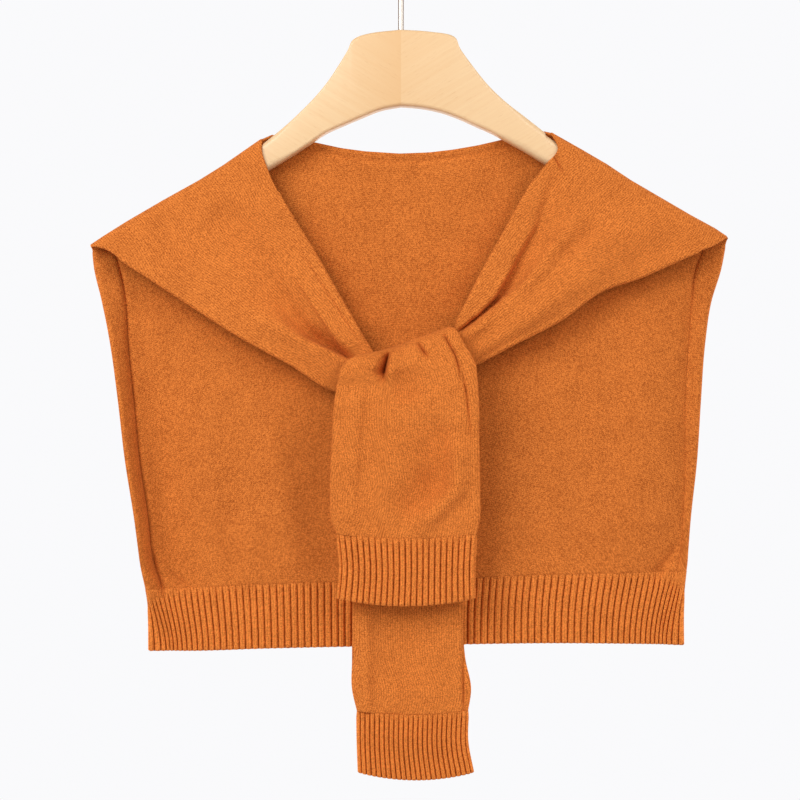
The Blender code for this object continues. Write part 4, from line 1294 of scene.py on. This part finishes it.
def stitch_numbers(tree, place):
    """Stitch numbers across and down, made a little uneven."""
    split = add_node(tree, "ShaderNodeSeparateXYZ", ((0, place),))
    uneven = calculate(tree, "SUBTRACT", noise(tree, UNEVEN_SCALE, place), 0.5)
    across = calculate(tree, "MULTIPLY_ADD", uneven, UNEVEN_ACROSS, split.outputs[0])
    down = calculate(tree, "MULTIPLY_ADD", uneven, UNEVEN_DOWN, split.outputs[1])
    return across, down


def knit_height(tree, across, down):
    """Height of the knit face: two slanted legs to each stitch, in columns."""
    aside = calculate(tree, "SUBTRACT", calculate(tree, "FRACT", across), 0.5)
    aside = calculate(tree, "ABSOLUTE", aside)
    leg = calculate(tree, "SINE", calculate(tree, "MULTIPLY", aside, 2 * math.pi))
    leg = calculate(tree, "POWER", calculate(tree, "MAXIMUM", leg, 0.0), LEG_ROUNDNESS)
    row = wave(tree, calculate(tree, "MULTIPLY_ADD", aside, -LEG_LEAN, down))
    row = calculate(tree, "MULTIPLY_ADD", row, ROW_RELIEF, 1 - ROW_RELIEF)
    column = calculate(tree, "MULTIPLY_ADD", wave(tree, across), -WALE_RELIEF, WALE_RELIEF)
    leg = calculate(tree, "MULTIPLY", leg, row)
    return calculate(tree, "MULTIPLY_ADD", leg, 1 - WALE_RELIEF, column)


def purl_height(tree, across, down):
    """Height of the purl face: rows of small arcs."""
    arc = calculate(tree, "SINE", calculate(tree, "MULTIPLY", across, 2 * math.pi))
    return wave(tree, calculate(tree, "MULTIPLY_ADD", arc, PURL_ARC, down))


def loop_chance(tree, across, down):
    """A number from -0.5 to 0.5 for each loop of yarn, as no two lie alike."""
    column = calculate(tree, "FLOOR", calculate(tree, "MULTIPLY", across, LOOPS_ACROSS))
    row = calculate(tree, "FLOOR", calculate(tree, "MULTIPLY", down, LOOPS_DOWN))
    cell = add_node(tree, "ShaderNodeCombineXYZ", (("X", column), ("Y", row))).outputs[0]
    chance = add_node(tree, "ShaderNodeTexWhiteNoise", (("Vector", cell),), noise_dimensions="2D")
    return calculate(tree, "SUBTRACT", chance.outputs["Value"], 0.5)


def rib_painted_light_and_shade(tree, across, first):
    """What a place on ribbing adds to the shade: painted light on a ridge and painted shade in a groove.

    first is where the first groove lies, as a share of a rib.
    """
    turns = calculate(tree, "MULTIPLY_ADD", across, 1 / STITCHES_PER_RIB, -first)
    depth = calculate(tree, "POWER", wave(tree, turns), GROOVE_SHARPNESS)
    tone = calculate(tree, "MULTIPLY_ADD", depth, -GROOVE_PAINTED_SHADE, RIDGE_PAINTED_LIGHT)
    rise = add_node(tree, "ShaderNodeUVMap", uv_map=RISE_MAP).outputs["UV"]
    risen = add_node(tree, "ShaderNodeSeparateXYZ", ((0, rise),)).outputs["X"]
    return calculate(tree, "MULTIPLY", tone, risen)


def yarn_material(name, height_of, relief, gap_painted_shade, first_groove=None):
    """Matte ginger yarn in stitches of one kind, with painted shade in the gaps between stitches; in ribs
    if they have a first groove, with painted light on the ridges and painted shade in the grooves.
    """
    material, tree, inputs = start_material(name, YARN_SURFACE)
    place = add_node(tree, "ShaderNodeUVMap", uv_map=STITCH_MAP).outputs["UV"]
    across, down = stitch_numbers(tree, place)
    height = height_of(tree, across, down)
    body_place = add_node(tree, "ShaderNodeTexCoord").outputs["Object"]
    blotch = calculate(tree, "SUBTRACT", noise(tree, BLOTCH_SCALE, body_place, BLOTCH_DETAIL), 0.5)
    fleck = calculate(tree, "SUBTRACT", noise(tree, FLECK_SCALE, body_place), 0.5)
    mean = MEAN_SHADE + (GAP_PAINTED_SHADE - gap_painted_shade) * GAP_MEAN
    # Painted shade in the gaps between stitches, by how low the yarn lies there
    shade = calculate(tree, "MULTIPLY_ADD", height, gap_painted_shade, mean)
    shade = calculate(tree, "MULTIPLY_ADD", loop_chance(tree, across, down), LOOP_SHADE, shade)
    shade = calculate(tree, "MULTIPLY_ADD", blotch, BLOTCH_SHADE, shade)
    shade = calculate(tree, "MULTIPLY_ADD", fleck, FLECK_SHADE, shade)
    # Ribs add painted light on their ridges and painted shade in their grooves
    if first_groove is not None:
        shade = calculate(tree, "ADD", shade, rib_painted_light_and_shade(tree, across, first_groove))
    tree.links.new(mixed(tree, shade, YARN_DARK, YARN_LIGHT), inputs["Base Color"])
    lumps = calculate(tree, "MULTIPLY_ADD", fleck, LUMP_RELIEF, height)
    bump_links = (("Height", lumps), ("Distance", relief * MM), ("Strength", BUMP_STRENGTH))
    relief_node = add_node(tree, "ShaderNodeBump", bump_links)
    tree.links.new(relief_node.outputs["Normal"], inputs["Normal"])
    return material


def beech_material(name, slope, joint_shade):
    """Pale beech, darker at the joint. Its grain runs at a slope to the right, in radians."""
    material, tree, inputs = start_material(name, BEECH_SURFACE)
    place = add_node(tree, "ShaderNodeTexCoord").outputs["Object"]
    turned = add_node(tree, "ShaderNodeMapping", (("Vector", place), ("Rotation", (0.0, slope, 0.0))))
    lengthways = turned.outputs["Vector"]
    long_grain = add_node(tree, "ShaderNodeMapping", (("Vector", lengthways), ("Scale", GRAIN_STRETCH)))
    short_grain = add_node(tree, "ShaderNodeMapping", (("Vector", lengthways), ("Scale", FLECK_STRETCH)))
    grain = noise(tree, 1.0, long_grain.outputs["Vector"], GRAIN_DETAIL)
    ray = calculate(tree, "SUBTRACT", noise(tree, 1.0, short_grain.outputs["Vector"]), RAY_FROM)
    ray = calculate(tree, "MULTIPLY", calculate(tree, "MAXIMUM", ray, 0.0), RAY_GAIN)
    share = calculate(tree, "MULTIPLY_ADD", grain, GRAIN_CONTRAST, 0.5 - GRAIN_CONTRAST / 2)
    ground = mixed(tree, share, BEECH_DARK, BEECH_LIGHT)
    across = add_node(tree, "ShaderNodeSeparateXYZ", (("Vector", place),)).outputs["X"]
    across = calculate(tree, "ABSOLUTE", across)
    near = calculate(tree, "MULTIPLY_ADD", across, -1 / JOINT_FADE, 1.0)
    near = calculate(tree, "MULTIPLY", calculate(tree, "MAXIMUM", near, 0.0), joint_shade)
    ground = mixed(tree, near, ground, BEECH_JOINT)
    tree.links.new(mixed(tree, ray, ground, BEECH_RAY), inputs["Base Color"])
    relief = add_node(tree, "ShaderNodeBump", (("Height", grain), ("Distance", GRAIN_RELIEF * MM)))
    tree.links.new(relief.outputs["Normal"], inputs["Normal"])
    rough = calculate(tree, "MULTIPLY_ADD", grain, BEECH_ROUGHER, BEECH_ROUGHNESS)
    tree.links.new(rough, inputs["Roughness"])
    return material


def steel_material():
    """Bright drawn wire with faint lines along it."""
    material, tree, inputs = start_material("dressed_steel", STEEL_SURFACE)
    place = add_node(tree, "ShaderNodeTexCoord").outputs["Object"]
    drawn = add_node(tree, "ShaderNodeMapping", (("Vector", place), ("Scale", WIRE_STRETCH)))
    lines = noise(tree, 1.0, drawn.outputs["Vector"], WIRE_DETAIL)
    tree.links.new(mixed(tree, lines, STEEL_DARK, STEEL_LIGHT), inputs["Base Color"])
    rough = calculate(tree, "MULTIPLY_ADD", lines, STEEL_ROUGHER, STEEL_ROUGHNESS)
    tree.links.new(rough, inputs["Roughness"])
    return material


def finish_cloth(thing, faces):
    """Gives a cloth piece the materials of its outer and its inner face."""
    for material in faces:
        thing.data.materials.append(material)
    return thing


def add_cloth(name, grid, faces, thick=KNIT_THICK, closed=False, square=()):
    """A piece of plain knit."""
    places = stitch_places(grid, closed)
    thing = add_wall(name, grid, thick, closed, places, square=square)
    return finish_cloth(thing, faces)


def add_ribbing(name, grid, faces, ribs, late, closed):
    """A ribbed piece. The reverse of an open one has ribs between those of its front."""
    rise = rib_rise(late)
    profile = rib_profile(ribs)
    lift = (rise * profile)[:, :, None]
    between = (rise * np.roll(profile, RIB_POINTS // 2))[:, :, None]
    under = -lift if closed else between
    places = rib_places(grid, closed)
    thing = add_wall(name, grid, RIB_THICK, closed, places, lift, under, rise, ((0, HIGH),))
    return finish_cloth(thing, faces)


def cuff_grid(rows):
    """Middle points of a cuff, whose top row reaches up into the tail's edge."""
    grid = drop_grid(rows, CUFF_RIBS * RIB_POINTS, RIB_ROWS, CUFF_TOP_SAG, CUFF_SAG)[0]
    grid[0, :, HIGH] += SEAM_LAP
    return grid


def dress_cloth():
    """Every cloth piece, with its stitches."""
    knit = yarn_material("yarn_knit", knit_height, KNIT_RELIEF, GAP_PAINTED_SHADE)
    purl = yarn_material("yarn_purl", purl_height, PURL_RELIEF, PURL_GAP_PAINTED_SHADE)
    rib_front = yarn_material("yarn_rib", knit_height, KNIT_RELIEF, GAP_PAINTED_SHADE, first_groove=0.0)
    rib_reverse = yarn_material("yarn_rib_reverse", knit_height, KNIT_RELIEF, GAP_PAINTED_SHADE, first_groove=0.5)
    knit_out = (knit, purl)
    purl_out = (purl, knit)
    rib_faces = (rib_front, rib_reverse)
    drapes = (
        ("sleeve_left_drape", LEFT_INNER, LEFT_OUTER, LEFT_FOLDS, LEFT_CREASES),
        ("sleeve_right_drape", RIGHT_INNER, RIGHT_OUTER, RIGHT_FOLDS, RIGHT_CREASES),
    )
    panel = panel_grid()
    add_cloth("back_panel", panel, purl_out, square=((0, DEEP), (-1, HIGH)))
    add_cloth("neck_trim", trim_grid(panel), purl_out, TRIM_THICK)
    late = HEM_LATE * hem_ends()
    add_ribbing("back_hem", hem_grid(), rib_faces, HEM_RIBS, late, closed=False)
    for name, *lines in drapes:
        add_cloth(name, drape_grid(*lines), knit_out, square=((0, DEEP), (-1, WIDE)))
    add_cloth("knot_crossing", knot_grid(), knit_out, closed=True)
    for name, grid in zip(("tail_front", "tail_back"), tail_grids()):
        add_cloth(name, grid, knit_out, closed=True, square=((-1, HIGH),))
    late = np.zeros(CUFF_RIBS * RIB_POINTS)
    for name, rows in (("cuff_front", CUFF_FRONT), ("cuff_back", CUFF_BACK)):
        add_ribbing(name, cuff_grid(rows), rib_faces, CUFF_RIBS, late, closed=True)


def dress_hanger():
    """The wooden halves and the wire hook."""
    sides = (
        ("hanger_left", HANGER_LEFT, -ARM_SLOPE, LEFT_JOINT_SHADE),
        ("hanger_right", HANGER_RIGHT, ARM_SLOPE, RIGHT_JOINT_SHADE),
    )
    for name, rows, slope, joint_shade in sides:
        half = add_solid(name, hanger_rings(rows))
        half.data.materials.append(beech_material("dressed_" + name, slope, joint_shade))
    hook = add_solid("hanger_hook", hook_rings())
    hook.data.materials.append(steel_material())


def add_floor():
    """A pale round floor under the part."""
    bpy.ops.mesh.primitive_circle_add(
        vertices=FLOOR_SIDES, radius=FLOOR_RADIUS, fill_type="NGON", location=(0.0, 0.0, FLOOR_LEVEL)
    )
    floor = bpy.context.object
    floor.name = "floor"
    floor.data.materials.append(start_material("stage_floor", FLOOR_SURFACE)[0])


def add_light(name, place, size, power):
    """A square soft light that faces the middle of the part."""
    light = bpy.data.lights.new(name, "AREA")
    light.size = size
    light.energy = power
    thing = bpy.data.objects.new(name, light)
    thing.location = place
    thing.rotation_euler = (LOOK_AT - thing.location).to_track_quat("-Z", "Y").to_euler()
    bpy.context.collection.objects.link(thing)


def add_surroundings():
    """Even studio light all round, with a paler backdrop where the camera looks past the part."""
    world = bpy.data.worlds.new("studio")
    world.use_nodes = True
    tree = world.node_tree
    light = tree.nodes["Background"]
    light.inputs["Color"].default_value = AMBIENT_COLOUR
    light.inputs["Strength"].default_value = AMBIENT_STRENGTH
    backdrop = add_node(tree, "ShaderNodeBackground", (("Color", BACKDROP_COLOUR),))
    path = add_node(tree, "ShaderNodeLightPath")
    links = ((0, path.outputs["Is Camera Ray"]), (1, light.outputs[0]), (2, backdrop.outputs[0]))
    both = add_node(tree, "ShaderNodeMixShader", links)
    tree.links.new(both.outputs[0], tree.nodes["World Output"].inputs["Surface"])
    bpy.context.scene.world = world


def add_camera():
    """A camera straight in front, at the height of the middle of the picture."""
    camera = bpy.data.cameras.new("camera")
    camera.lens = CAMERA_LENS
    camera.sensor_width = CAMERA_SENSOR
    thing = bpy.data.objects.new("camera", camera)
    thing.location = CAMERA_PLACE
    thing.rotation_euler = (math.pi / 2, 0.0, 0.0)
    bpy.context.collection.objects.link(thing)
    bpy.context.scene.camera = thing


add_camera()
dress_cloth()
dress_hanger()
add_floor()
add_surroundings()
for light_row in LIGHTS:
    add_light(*light_row)
bpy.context.scene.view_settings.view_transform = "Standard"
